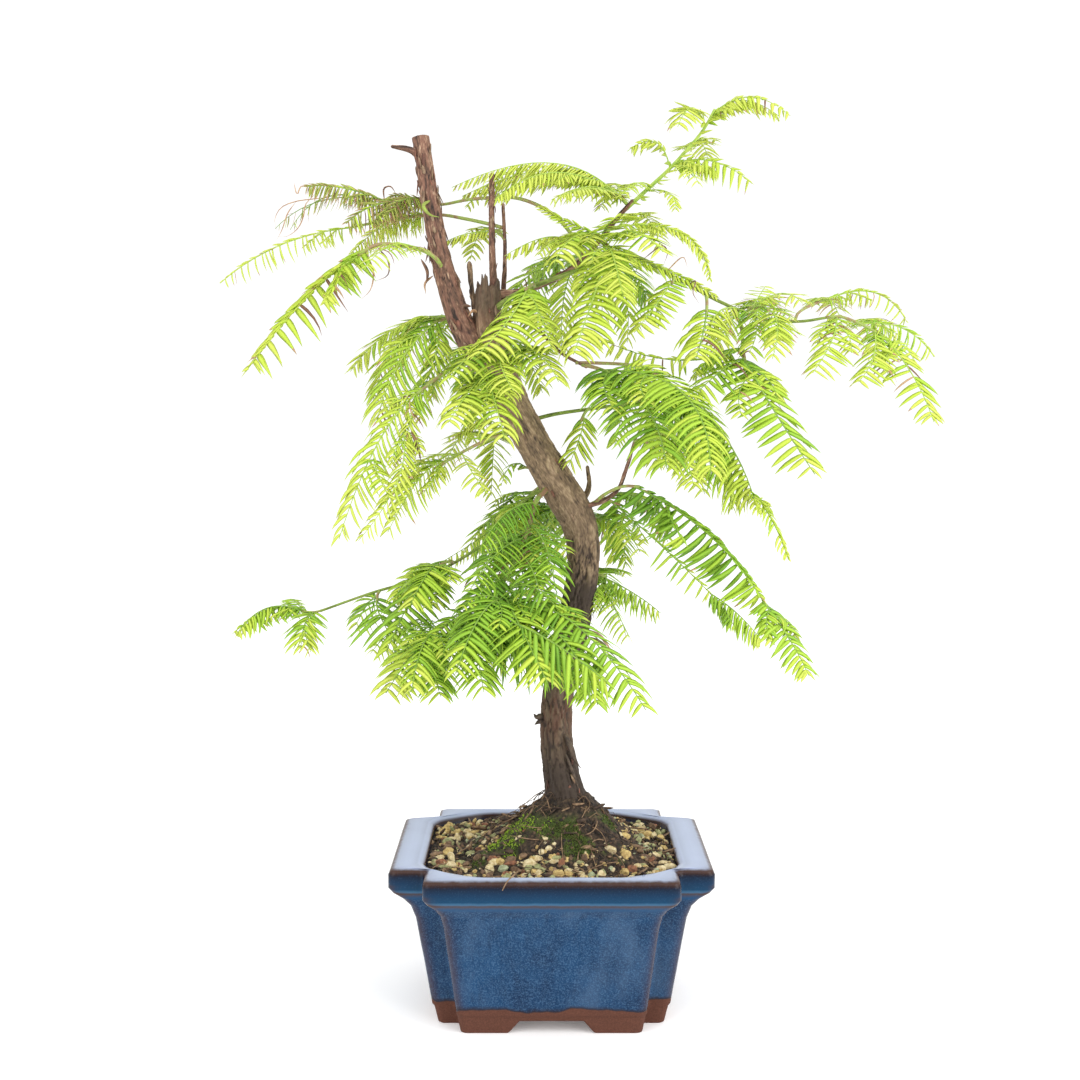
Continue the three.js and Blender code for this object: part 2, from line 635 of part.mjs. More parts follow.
  back_right_end: {
    stem: [[38, 7.5, 288.5], [44, 12, 290], [48, 18, 291]],
    thick: [0.7, 0.6],
    sprays: [
      { line: [[42, 10.5, 289.5], [54, 14, 294], [64, 20, 284]], needle: 12, face: FLAT },
      { line: [[46, 15, 290.5], [58, 44, 294], [66, 70, 270]], needle: 15, face: BACK },
      { line: [[45, 14, 290.3], [40, 46, 292], [34, 78, 266]], needle: 15, face: BACK },
    ],
  },
  low_right_long: {
    stem: [[21, -2, 242], [25, -9, 246], [33, -13, 250], [41, -14, 250]],
    thick: [0.9, 0.7],
    sprays: [
      { line: [[38, -13.7, 250.3], [74, -16, 227], [100, -20, 194]], needle: 20, face: FLAT, fold: HANGING },
      { line: [[98, -20, 197], [110, -23, 180], [119, -27, 163]], needle: 12, face: TILTED },
    ],
  },
  low_right_inner: {
    stem: [[18, -1, 240.5], [25, 3, 243], [33, 3, 240]],
    thick: [0.9, 0.7],
    sprays: [
      { line: [[28, 3, 242.5], [53, 3, 220.5], [78, 8, 196]], needle: 12, face: FLAT, fold: HANGING },
      { line: [[77, 8, 197], [91, 11, 186.5], [103.5, 14, 172.5]], needle: 11, face: FLAT, fold: HANGING },
      { line: [[26, 3, 243], [44, 28, 242], [60, 48, 218]], needle: 14, face: BACK },
    ],
  },
  low_right_back: {
    stem: [[14, 5, 231], [22, 10, 233], [26, 12, 232]],
    thick: [0.8, 0.7],
    sprays: [
      { line: [[21, 9.5, 232.8], [33, 9, 230], [43, 8, 217]], needle: 14, face: TILTED },
      { line: [[23, 11, 232.8], [30, 36, 230], [34, 62, 206]], needle: 14, face: BACK },
    ],
  },
  low_right_spray: {
    stem: [[14, 4, 205], [21, 9, 206.5], [26, 8.5, 205]],
    thick: [0.8, 0.7],
    sprays: [
      { line: [[22.5, 9, 206], [39, 5, 198], [52.5, 0, 188.5]], needle: 12, face: FLAT, fold: HANGING },
      { line: [[22.5, 8.8, 206], [29, -2, 194], [37, -10, 178.5]], needle: 12, face: FLAT, fold: DROOPING },
      { line: [[22, 9, 206.3], [28, 34, 204], [26, 58, 182]], needle: 14, face: BACK },
    ],
  },
  low_left_tip: {
    stem: [[-49, -20, 186], [-54, -22, 182.5], [-60, -25, 177]],
    thick: [0.8, 0.7],
    sprays: [
      { line: [[-55, -22.5, 181.5], [-66, -27, 170.5], [-76, -32, 156]], needle: 17, face: FRONT },
      { line: [[-53, -22, 183], [-58, -44, 180], [-62, -57, 162]], needle: 15, face: TILTED },
      { line: [[-53, -21.5, 183.5], [-70, -10, 184], [-86, -6, 170]], needle: 16, face: TILTED },
      { line: [[-57, -23.5, 179.5], [-54.5, -36, 170.5], [-50, -44, 157]], needle: 15, face: FRONT },
    ],
  },
  low_left_front: {
    stem: [[-22, -17.5, 204], [-22, -24, 201], [-20.5, -29, 198]],
    thick: [1, 0.8],
    sprays: [
      { line: [[-21, -27, 199], [11, -42, 189], [42, -49, 152]], needle: 20, face: TILTED },
      { line: [[-21.5, -25, 200], [-14, -52, 190], [-2, -68, 168]], needle: 20, face: FRONT },
      { line: [[-21.5, -26, 199.5], [-32, -48, 194], [-42, -62, 171]], needle: 18, face: FRONT },
      { line: [[-20.8, -28, 199], [5, -50, 184], [20, -62, 157]], needle: 18, face: TILTED },
      { line: [[-21.5, -24, 200.5], [-10, -34, 206], [3, -41, 196]], needle: 14, face: TILTED },
    ],
  },
  low_left_under: {
    stem: [[-34, -18.8, 194], [-32.5, -24, 190], [-32, -29, 188]],
    thick: [0.8, 0.7],
    sprays: [
      { line: [[-32, -26, 189.5], [-17, -37, 184.5], [0, -43, 175]], needle: 24, face: FLAT, fold: HANGING },
      { line: [[-32.5, -23, 191], [-41, -32, 184], [-49, -38, 165]], needle: 20, face: FRONT },
      { line: [[-33.3, -21, 192.5], [-34, -8, 186], [-40, 2, 165]], needle: 18, face: BACK },
      { line: [[-32, -27, 189], [-33, -46, 180], [-30, -58, 162]], needle: 17, face: FRONT },
    ],
  },
  long_left_tip: {
    stem: [[-108, 4.3, 190], [-114, 4, 188.5], [-120, 4, 189]],
    thick: [0.6, 0.5],
    sprays: [
      { line: [[-117, 4, 188.6], [-134, 2, 190], [-152, -4, 179]], needle: 10, face: FLAT, fold: DROOPING },
      { line: [[-113.5, 4, 188.5], [-117, -5, 184], [-113, -14, 172]], needle: 11, face: FRONT },
      { line: [[-119, 4, 188.9], [-125, 12, 193], [-129, 22, 192]], needle: 7, face: BACK },
    ],
  },
  low_left_drop: {
    stem: [[-82.5, 6.2, 198.6], [-83.3, 3, 197], [-83, -1, 194.5]],
    thick: [0.7, 0.7],
    sprays: [
      { line: [[-83.2, 1, 195.8], [-81.5, -6, 189], [-74, -9, 176]], needle: 20, face: FRONT },
      { line: [[-83.3, 2, 196.4], [-88.5, 8, 192], [-95, 12, 181]], needle: 14, face: FRONT },
    ],
  },
  low_left_fans: {
    stem: [[-47, 9.3, 212], [-49, 5, 213], [-55, 1, 211]],
    thick: [0.8, 0.7],
    sprays: [
      { line: [[-49.5, 4.5, 213], [-61, 1, 210], [-75, -3, 199]], needle: 19, face: FLAT, fold: HANGING },
      { line: [[-54, 1.8, 211.3], [-65, -12, 198], [-77, -20, 173]], needle: 18, face: FRONT },
      { line: [[-53.5, 2, 211.5], [-57.5, -18, 210], [-65, -29, 196]], needle: 15, face: TILTED },
    ],
  },
  low_left_comb: {
    stem: [[-3, 8.8, 249.5], [-7, 15, 247], [-12, 21, 242]],
    thick: [0.9, 0.7],
    sprays: [
      { line: [[-10, 18.5, 244], [-27, 25, 228], [-53, 24, 211]], needle: 11, face: FLAT, fold: HANGING },
      { line: [[-9, 17.5, 245], [-22, 44, 238], [-38, 62, 210]], needle: 15, face: BACK },
      { line: [[-11, 19.5, 243], [-15, 30, 231], [-11.5, 34, 207]], needle: 13, face: FRONT },
      { line: [[-10.5, 19, 243.5], [-24.5, 12, 227], [-33, 8, 205]], needle: 12, face: TILTED },
    ],
  },
  low_left_inner: {
    stem: [[-11, -13, 230], [-10, -8, 227], [-10.5, -3, 224]],
    thick: [0.8, 0.7],
    sprays: [
      { line: [[-10.5, -5, 225.5], [-14, 0, 212], [-9, 2, 187]], needle: 17, face: FRONT },
      { line: [[-10, -7, 226.5], [-24, -4, 222], [-37, -6, 203]], needle: 16, face: TILTED },
      { line: [[-10, -7.5, 226.7], [-2.5, -16, 219.5], [3, -21, 197]], needle: 15, face: FRONT },
      { line: [[-10.5, -4, 225], [-21.5, 4, 211], [-26, 2, 188]], needle: 16, face: FRONT },
    ],
  },
  back_high: {
    stem: [[10, 6, 352], [12, 14, 356], [16, 28, 359], [20, 40, 360]],
    thick: [1.2, 0.8],
    sprays: [
      { line: [[19, 38, 360], [25, 68, 360], [28, 96, 334]], needle: 17, face: BACK },
      { line: [[16, 27, 359], [36, 50, 361], [50, 68, 342]], needle: 15, face: BACK },
      { line: [[14, 22, 358], [0, 50, 358], [-10, 74, 338]], needle: 15, face: BACK },
    ],
  },
  back_head: {
    stem: [[-30, 6, 318], [-31, 18, 318], [-33, 34, 317]],
    thick: [1.2, 0.8],
    sprays: [
      { line: [[-33, 32, 317], [-40, 62, 312], [-46, 90, 284]], needle: 17, face: BACK },
      { line: [[-32, 25, 317.5], [-16, 50, 316], [-4, 72, 294]], needle: 15, face: BACK },
    ],
  },
  back_low: {
    stem: [[10, 3, 238], [5, 20, 238], [1, 32, 236]],
    thick: [1.2, 0.8],
    sprays: [
      { line: [[1.3, 31, 236.3], [-12, 62, 230], [-26, 92, 200]], needle: 17, face: BACK },
      { line: [[3, 26, 237.3], [10, 60, 228], [14, 88, 198]], needle: 17, face: BACK },
      { line: [[4.5, 21, 238], [-10, 38, 228], [-24, 50, 200]], needle: 15, face: BACK },
    ],
  },
};

const COLOURS = {
  glaze: "#2f5f94",
  soil: "#4a3a28",
  bark: "#6f5f4c",
  red_bark: "#7d5240",
  green_stem: "#6f8f3a",
  foliage: "#86bd35",
};

const placed = [];
function largest(item) {
  return item.decompose().reduce((best, piece) => (piece.volume() > best.volume() ? piece : best));
}

function makeMass({ stem, thick, sprays }, seed, grownLimbs) {
  const own = [];
  const keepOwn = (shape) => own.push({ shape, box: bounds(shape) });
  keepOwn(limb({ points: stem, radii: thick, sides: STEM_SIDES, step: 13 }));
  sprays.forEach((one, k) => keepOwn(spray(one, seed + 5 * k, placed, [...own])));
  let mass = Manifold.union(own.map(({ shape }) => shape));
  for (const grown of grownLimbs) {
    if (near(bounds(mass), grown.box, 0)) mass = mass.subtract(grown.shape);
  }
  return largest(mass).simplify(0.01);
}

function toMesh(name, shape, slot) {
  const { vertProperties, triVerts, numProp } = shape.getMesh();
  const positions = new Float32Array(triVerts.length * 3);
  triVerts.forEach((v, i) => positions.set(vertProperties.subarray(v * numProp, v * numProp + 3), 3 * i));
  const geometry = new THREE.BufferGeometry();
  geometry.setAttribute("position", new THREE.BufferAttribute(positions, 3));
  geometry.computeVertexNormals();
  const material = new THREE.MeshStandardMaterial({ color: COLOURS[slot], roughness: 0.7 });
  material.name = slot;
  const mesh = new THREE.Mesh(geometry, material);
  mesh.name = name;
  return mesh;
}

const group = new THREE.Group();
group.name = "dawn_redwood_bonsai";
const keep = (name, shape, slot) => {
  placed.push({ shape, box: bounds(shape) });
  group.add(toMesh(name, shape, slot));
};

keep("pot", makePot(), "glaze");
keep("soil", makeSoil(), "soil");

// Limbs in order of rank: each gives way to those before it, leaving a hairline at the joint.
const grownLimbs = [];
for (const [name, spec] of Object.entries(LIMBS)) {
  let shape = limb(spec);
  if (name === "trunk") shape = shape.trimByPlane(UP, SOIL_CROWN + GAP);
  for (const grown of grownLimbs) {
    if (near(bounds(shape), grown.box, 0)) shape = shape.subtract(grown.shape);
  }
  shape = largest(shape);
  const wide = limb(spec, GAP);
  grownLimbs.push({ shape: wide, box: bounds(wide) });
  keep(name, shape, spec.material);
}

Object.entries(MASSES).forEach(([name, spec], i) => {
  keep(name, makeMass(spec, 3 + 7 * i, grownLimbs), "foliage");
});

// Stand the whole on the ground, centred over its outline.
const box = new THREE.Box3().setFromObject(group);
const shift = [-(box.min.x + box.max.x) / 2, -(box.min.y + box.max.y) / 2, -box.min.z];
group.children.forEach((mesh) => mesh.geometry.translate(...shift));

export default group;
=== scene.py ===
"""Dawn redwood bonsai in a glazed pot: bark, needles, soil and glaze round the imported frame.

Tables are in millimetres in the pot's own axes; pieces are made in metres in the frame's axes.
"""
import logging
import math
from collections.abc import Sequence
from dataclasses import dataclass, field, replace
from enum import Enum

import bpy
import numpy as np
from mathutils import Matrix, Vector


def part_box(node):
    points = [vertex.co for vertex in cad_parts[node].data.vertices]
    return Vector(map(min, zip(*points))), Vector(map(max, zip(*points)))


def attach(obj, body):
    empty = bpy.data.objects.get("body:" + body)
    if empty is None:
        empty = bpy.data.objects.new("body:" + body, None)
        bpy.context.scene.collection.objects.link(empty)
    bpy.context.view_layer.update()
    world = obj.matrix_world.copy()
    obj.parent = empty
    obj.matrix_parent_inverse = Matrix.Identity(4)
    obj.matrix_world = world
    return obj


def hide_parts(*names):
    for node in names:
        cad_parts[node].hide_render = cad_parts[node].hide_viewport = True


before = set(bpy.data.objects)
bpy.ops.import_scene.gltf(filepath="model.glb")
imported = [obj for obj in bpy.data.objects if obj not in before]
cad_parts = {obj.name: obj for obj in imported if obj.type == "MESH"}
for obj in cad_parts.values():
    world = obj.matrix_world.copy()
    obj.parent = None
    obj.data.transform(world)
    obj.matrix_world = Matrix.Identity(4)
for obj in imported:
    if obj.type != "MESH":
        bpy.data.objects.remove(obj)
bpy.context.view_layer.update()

LOG = logging.getLogger("bonsai")
ROOT = "root"
MM = 0.001

Array = np.ndarray
Triple = tuple[float, float, float]
Colour = tuple[float, float, float]
Pair = tuple[float, float]

# Pot, in millimetres.
POT_HEIGHT = 76.5
POT_HALF_WIDTH = 75.0
POT_HALF_DEPTH = 60.0
RIM_NOTCH = 16.0
FOOT_HEIGHT = 6.0
FLOOR_TOP = 13.0
SOIL_EDGE = 73.4
SOIL_CROWN = 101.0
SOIL_SIDES = (58.6, 50.9)
TRUNK_FOOT = (8.5, 0.0)

# A way that no limb or stem sets out in; angles round them are measured from the way square to both.
ASIDE: Triple = (0.13, 0.98, 0.1)
DOWN: Triple = (0, 0, -1)
GOLDEN = 0.61803398875


class Bark(Enum):
    """Kinds of bark; each value names the piece that holds the other limbs with that bark."""

    BARK = "bark"
    RED_BARK = "red_bark"
    GREEN_STEM = "green_stem"


class Region(Enum):
    """Parts of the crown; each value names the pieces that hold its needles and its twigs."""

    CROWN = "crown"
    UPPER_LEFT = "upper_left"
    LEFT = "left"
    FRONT = "front"
    RIGHT = "right"
    LOW_RIGHT = "low_right"
    LOW_LEFT = "low_left"
    BACK = "back"


class Tint(Enum):
    """Leaf tints, from new to old growth, then dried; steps between the greens also paint light and shade.
    Each value is a place in LEAF_TINTS.
    """

    LIME = 0
    SPRING = 1
    LEAF = 2
    DEEP = 3
    OLIVE = 4
    SHADE = 5
    DRIED = 6
    RUST = 7


@dataclass(frozen=True)
class Habit:
    """How the needles stand on a shoot.

    Args:
        spacing: distance between needles, as a share of the usual one.
        broad: width, as a share of the usual one.
        angles: how far the lower and the upper rank's tips stand off the shoot at its root, in degrees.
        bows: how far each of these ranks curves towards the shoot's tip: the tangent of half its turn.
        sag: how far their tips droop, as a share of their length.
        edge: how far the lower rank's needles turn on edge.
        loss: share of the needles that have fallen.
        second: share of the far rank that has grown.
        hug: number of short needles along the shoot for each pair.
        cling: length of these, as a share of the others'.
        tooth: whether needles are widest near their foot.
    """

    spacing: float = 1.0
    broad: float = 1.0
    angles: Pair = (78, 60)
    bows: Pair = (0.08, 0.3)
    sag: float = 0.16
    edge: float = 0.2
    loss: float = 0.03
    second: float = 1.0
    hug: float = 0.0
    cling: float = 0.5
    tooth: bool = False


PLAIN = Habit()
FAN = Habit(spacing=1.02, angles=(52, 42), bows=(-0.32, 0.42), sag=0.12, edge=0.8)
QUILL = Habit(spacing=0.98, angles=(92, 48), bows=(0.04, 0.08), sag=0.17, edge=0.1)
PLUME = Habit(spacing=0.76, broad=1.12, angles=(96, 40), bows=(0.22, 0.55), sag=0.24, edge=0.1, loss=0)
DRAPE = Habit(spacing=0.95, broad=1.05, angles=(84, 44), bows=(-0.12, 0.1), sag=0.3, loss=0)
FERN = Habit(spacing=0.82, broad=1.15, angles=(80, 56), bows=(-0.12, 0.24), sag=0.27, edge=0.15, loss=0)
TEETH = Habit(spacing=0.95, broad=1.15, angles=(92, 54), bows=(0, 0.22), sag=0.12, loss=0)
FANG = Habit(
    spacing=1.25, broad=1.3, angles=(88, 70), bows=(0, 0.1), sag=0.1,
    second=0.4, hug=1.2, cling=0.45, tooth=True)
JAW = Habit(
    spacing=1.62, broad=1.5, angles=(104, 100), bows=(0, 0), sag=0.08, second=0.2, hug=5, tooth=True)
COMB = Habit(
    spacing=1.35, broad=0.55, angles=(104, 98), bows=(-0.35, -0.25), sag=0.2, second=0.3, hug=3.4, cling=0.42)
SWEPT = Habit(
    spacing=1.1, broad=1.05, angles=(124, 114), bows=(-0.25, -0.2), sag=0.1, second=0.7, hug=2.2, cling=0.3)
ROPE = Habit(
    spacing=0.85, broad=0.85, angles=(60, 42), bows=(0.1, 0.25), sag=0.15, loss=0.1, hug=1.6, cling=0.75)
FINE = Habit(spacing=0.68, broad=0.85, angles=(76, 60), bows=(0.05, 0.25), loss=0.1)
HAIR = Habit(spacing=0.82, broad=0.66, angles=(88, 70), bows=(0.05, 0.3), sag=0.28, loss=0.05)
WISPY = Habit(
    spacing=0.62, broad=0.62, angles=(96, 84), bows=(-0.15, 0.1), sag=0.4, loss=0.12, hug=1.6, cling=0.6)
DRY = Habit(spacing=1.5, broad=0.3, angles=(84, 60), bows=(-0.3, 0.4), sag=0.1, loss=0.2, hug=0.5)
CURLED = Habit(spacing=1.7, broad=0.7, angles=(70, 84), bows=(0.5, 0.9), sag=0.35, edge=0.3, loss=0.1)
BARE = Habit(
    spacing=1.5, broad=0.95, angles=(118, 104), bows=(-0.1, 0), loss=0.3, second=0.5, hug=2)


@dataclass(frozen=True)
class Lay:
    """How a spray lies.

    Args:
        face: way that its upper side looks.
        fold: how far its needles fold down from level.
    """

    face: Triple
    fold: float = math.pi / 12


FLAT = Lay((0, -0.35, 1))
DROOPING = Lay(FLAT.face, math.pi / 4)
HANGING = Lay(FLAT.face, math.pi * 7 / 18)
TILTED = Lay((0, -0.8, 0.8))
FRONT = Lay((0, -1, 0.3))
BACK = Lay((0, 0.5, 1))


@dataclass(frozen=True)
class Spray:
    """A shoot with two ranks of needles.

    Args:
        root: where it starts.
        crest: its place half way.
        tip: where it ends.
        needle: length of its longest needles.
        lay: how it lies.
        habit: how the needles stand.
        young: how many steps younger its needles look than its mass's.
    """

    root: Triple
    crest: Triple
    tip: Triple
    needle: float
    lay: Lay
    habit: Habit = PLAIN
    young: int = 0

    @property
    def line(self) -> Array:
        """Root, crest and tip, in rows."""
        return np.array([self.root, self.crest, self.tip], dtype=float)


@dataclass(frozen=True)
class Mass:
    """Foliage that grows from one stem.

    Args:
        name: the node that it stands for.
        region: part of the crown.
        tint: the tint that most of its needles have.
        dry: share of its needles that have dried.
        stem: points along the stem.
        thick: the stem's radius at its foot and its end.
        sprays: the shoots that it carries.
        side_shoots: number of short shoots on each long one.
        extra: further shoots that the frame's solid leaves out, such as those that lie along a bough.
    """

    name: str
    region: Region
    tint: Tint
    dry: float
    stem: tuple[Triple, ...]
    thick: Pair
    sprays: tuple[Spray, ...]
    side_shoots: int = 2
    extra: tuple[Spray, ...] = ()


@dataclass(frozen=True)
class Limb:
    """A tapering limb.

    Args:
        name: the node that it stands for.
        bark: its kind of bark.
        points: points that its middle passes.
        radii: its radius at even steps along its length.
    """

    name: str
    bark: Bark
    points: tuple[Triple, ...]
    radii: tuple[float, ...]

    def radius(self, share: Array) -> Array:
        """Its radius at shares of its length."""
        return np.interp(share, np.linspace(0, 1, len(self.radii)), self.radii)


LIMBS = (
    Limb("trunk", Bark.BARK, (
        (9.5, 0, 91), (6, 0, 107), (3, 1, 124), (2.5, 1, 146), (7, 2, 170), (13, 3, 195), (15.5, 4, 214),
        (13.5, 4, 232), (1, 2, 254), (-12, 2, 276), (-24, 4, 300), (-30, 6, 325), (-30, 8, 343),
    ), (9, 8.2, 7.6, 7.4, 7.8, 7.8, 7.8, 8.6, 8.2, 8, 8.2, 7.6, 5.6)),
    Limb("sawn_trunk", Bark.RED_BARK, (
        (-32, 4, 307), (-42, 4, 325), (-51, 7, 352), (-57, 11, 382), (-62, 15, 414),
    ), (6, 5.6, 4.6, 4.3, 4.1)),
    Limb("sawn_side_twig", Bark.RED_BARK, (
        (-60.5, 14, 404), (-66, 12, 407.5), (-75, 10, 409),
    ), (2, 1.5, 0.8)),
    Limb("dead_stick_long", Bark.RED_BARK, ((-27, 8, 338), (-28, 9, 361), (-28, 10, 396)), (1.9, 1.5, 1.35)),
    Limb("dead_stick_short", Bark.RED_BARK, ((-23, 12, 336), (-22, 15, 361), (-23, 16, 383)), (1.4, 1, 0.8)),
    Limb("dead_stub", Bark.BARK, ((-36, 10, 332), (-38, 12, 342), (-39, 13, 355)), (1.6, 1.5, 1.3)),
    Limb("leader_bough", Bark.RED_BARK, (
        (-28, 9, 340), (-12, 9, 342), (10, 6, 352), (23, 4, 365), (31, 2, 375), (38, 1, 382.5),
    ), (1.8, 1.5, 1.4, 1.3, 1.2, 1.1)),
    Limb("right_bough", Bark.GREEN_STEM, (
        (-28, 5, 332), (-17, 0, 339), (-7.5, -4, 343), (4, -8, 347), (22.5, -9, 353.5), (32.5, -10, 357),
        (42, -11, 354.5), (52.5, -12, 348.5), (63, -12, 343), (76.5, -13, 335.5), (98, -14, 327),
        (114, -14, 326), (128, -14, 328),
    ), (1.5, 1.2, 1.1, 1, 0.9, 0.9, 0.8, 0.8, 0.7, 0.7, 0.6)),
    Limb("mid_right_twig", Bark.RED_BARK, (
        (-28, 2, 326), (-14, -8, 327), (-5, -12, 321), (4, -15, 312), (16, -18, 305),
    ), (1.2, 1, 0.9, 0.8, 0.7)),
    Limb("back_right_twig", Bark.GREEN_STEM, (
        (-14, 6, 279), (0, 9, 283), (20, 9, 286), (42, 7, 289),
    ), (1.1, 0.9, 0.8, 0.7)),
    Limb("low_right_twig", Bark.RED_BARK, (
        (12, 2, 238), (25, -4, 243), (31, -8, 248), (35, -14, 259), (39, -20, 274),
    ), (1.4, 1.2, 1, 0.9, 0.7)),
    Limb("dead_stub_right", Bark.BARK, ((12, 5, 238), (18, 9, 248), (17.5, 11, 258)), (1.5, 1.3, 1)),
    Limb("low_left_bough", Bark.GREEN_STEM, (
        (0, 1, 250), (-7, -8, 243), (-10, -12, 233), (-15, -15, 220), (-27, -18, 199), (-36, -19, 193),
        (-51, -20, 184.5),
    ), (1.5, 1.2, 1, 0.9, 0.9, 0.8, 0.7)),
    Limb("low_left_twig", Bark.GREEN_STEM, (
        (0, 6, 250), (-14, 12, 241), (-28, 12, 224), (-38, 11, 217), (-50, 9, 210), (-63, 8, 204),
        (-85, 6, 198), (-111, 4, 189),
    ), (1.2, 0.9, 0.8, 0.75, 0.7, 0.7, 0.6, 0.6)),
    Limb("left_twig", Bark.GREEN_STEM, (
        (-27, 3, 313), (-42, -6, 307), (-49, -8, 304), (-55, -10, 297),
    ), (1.1, 0.9, 0.8, 0.7)),
)

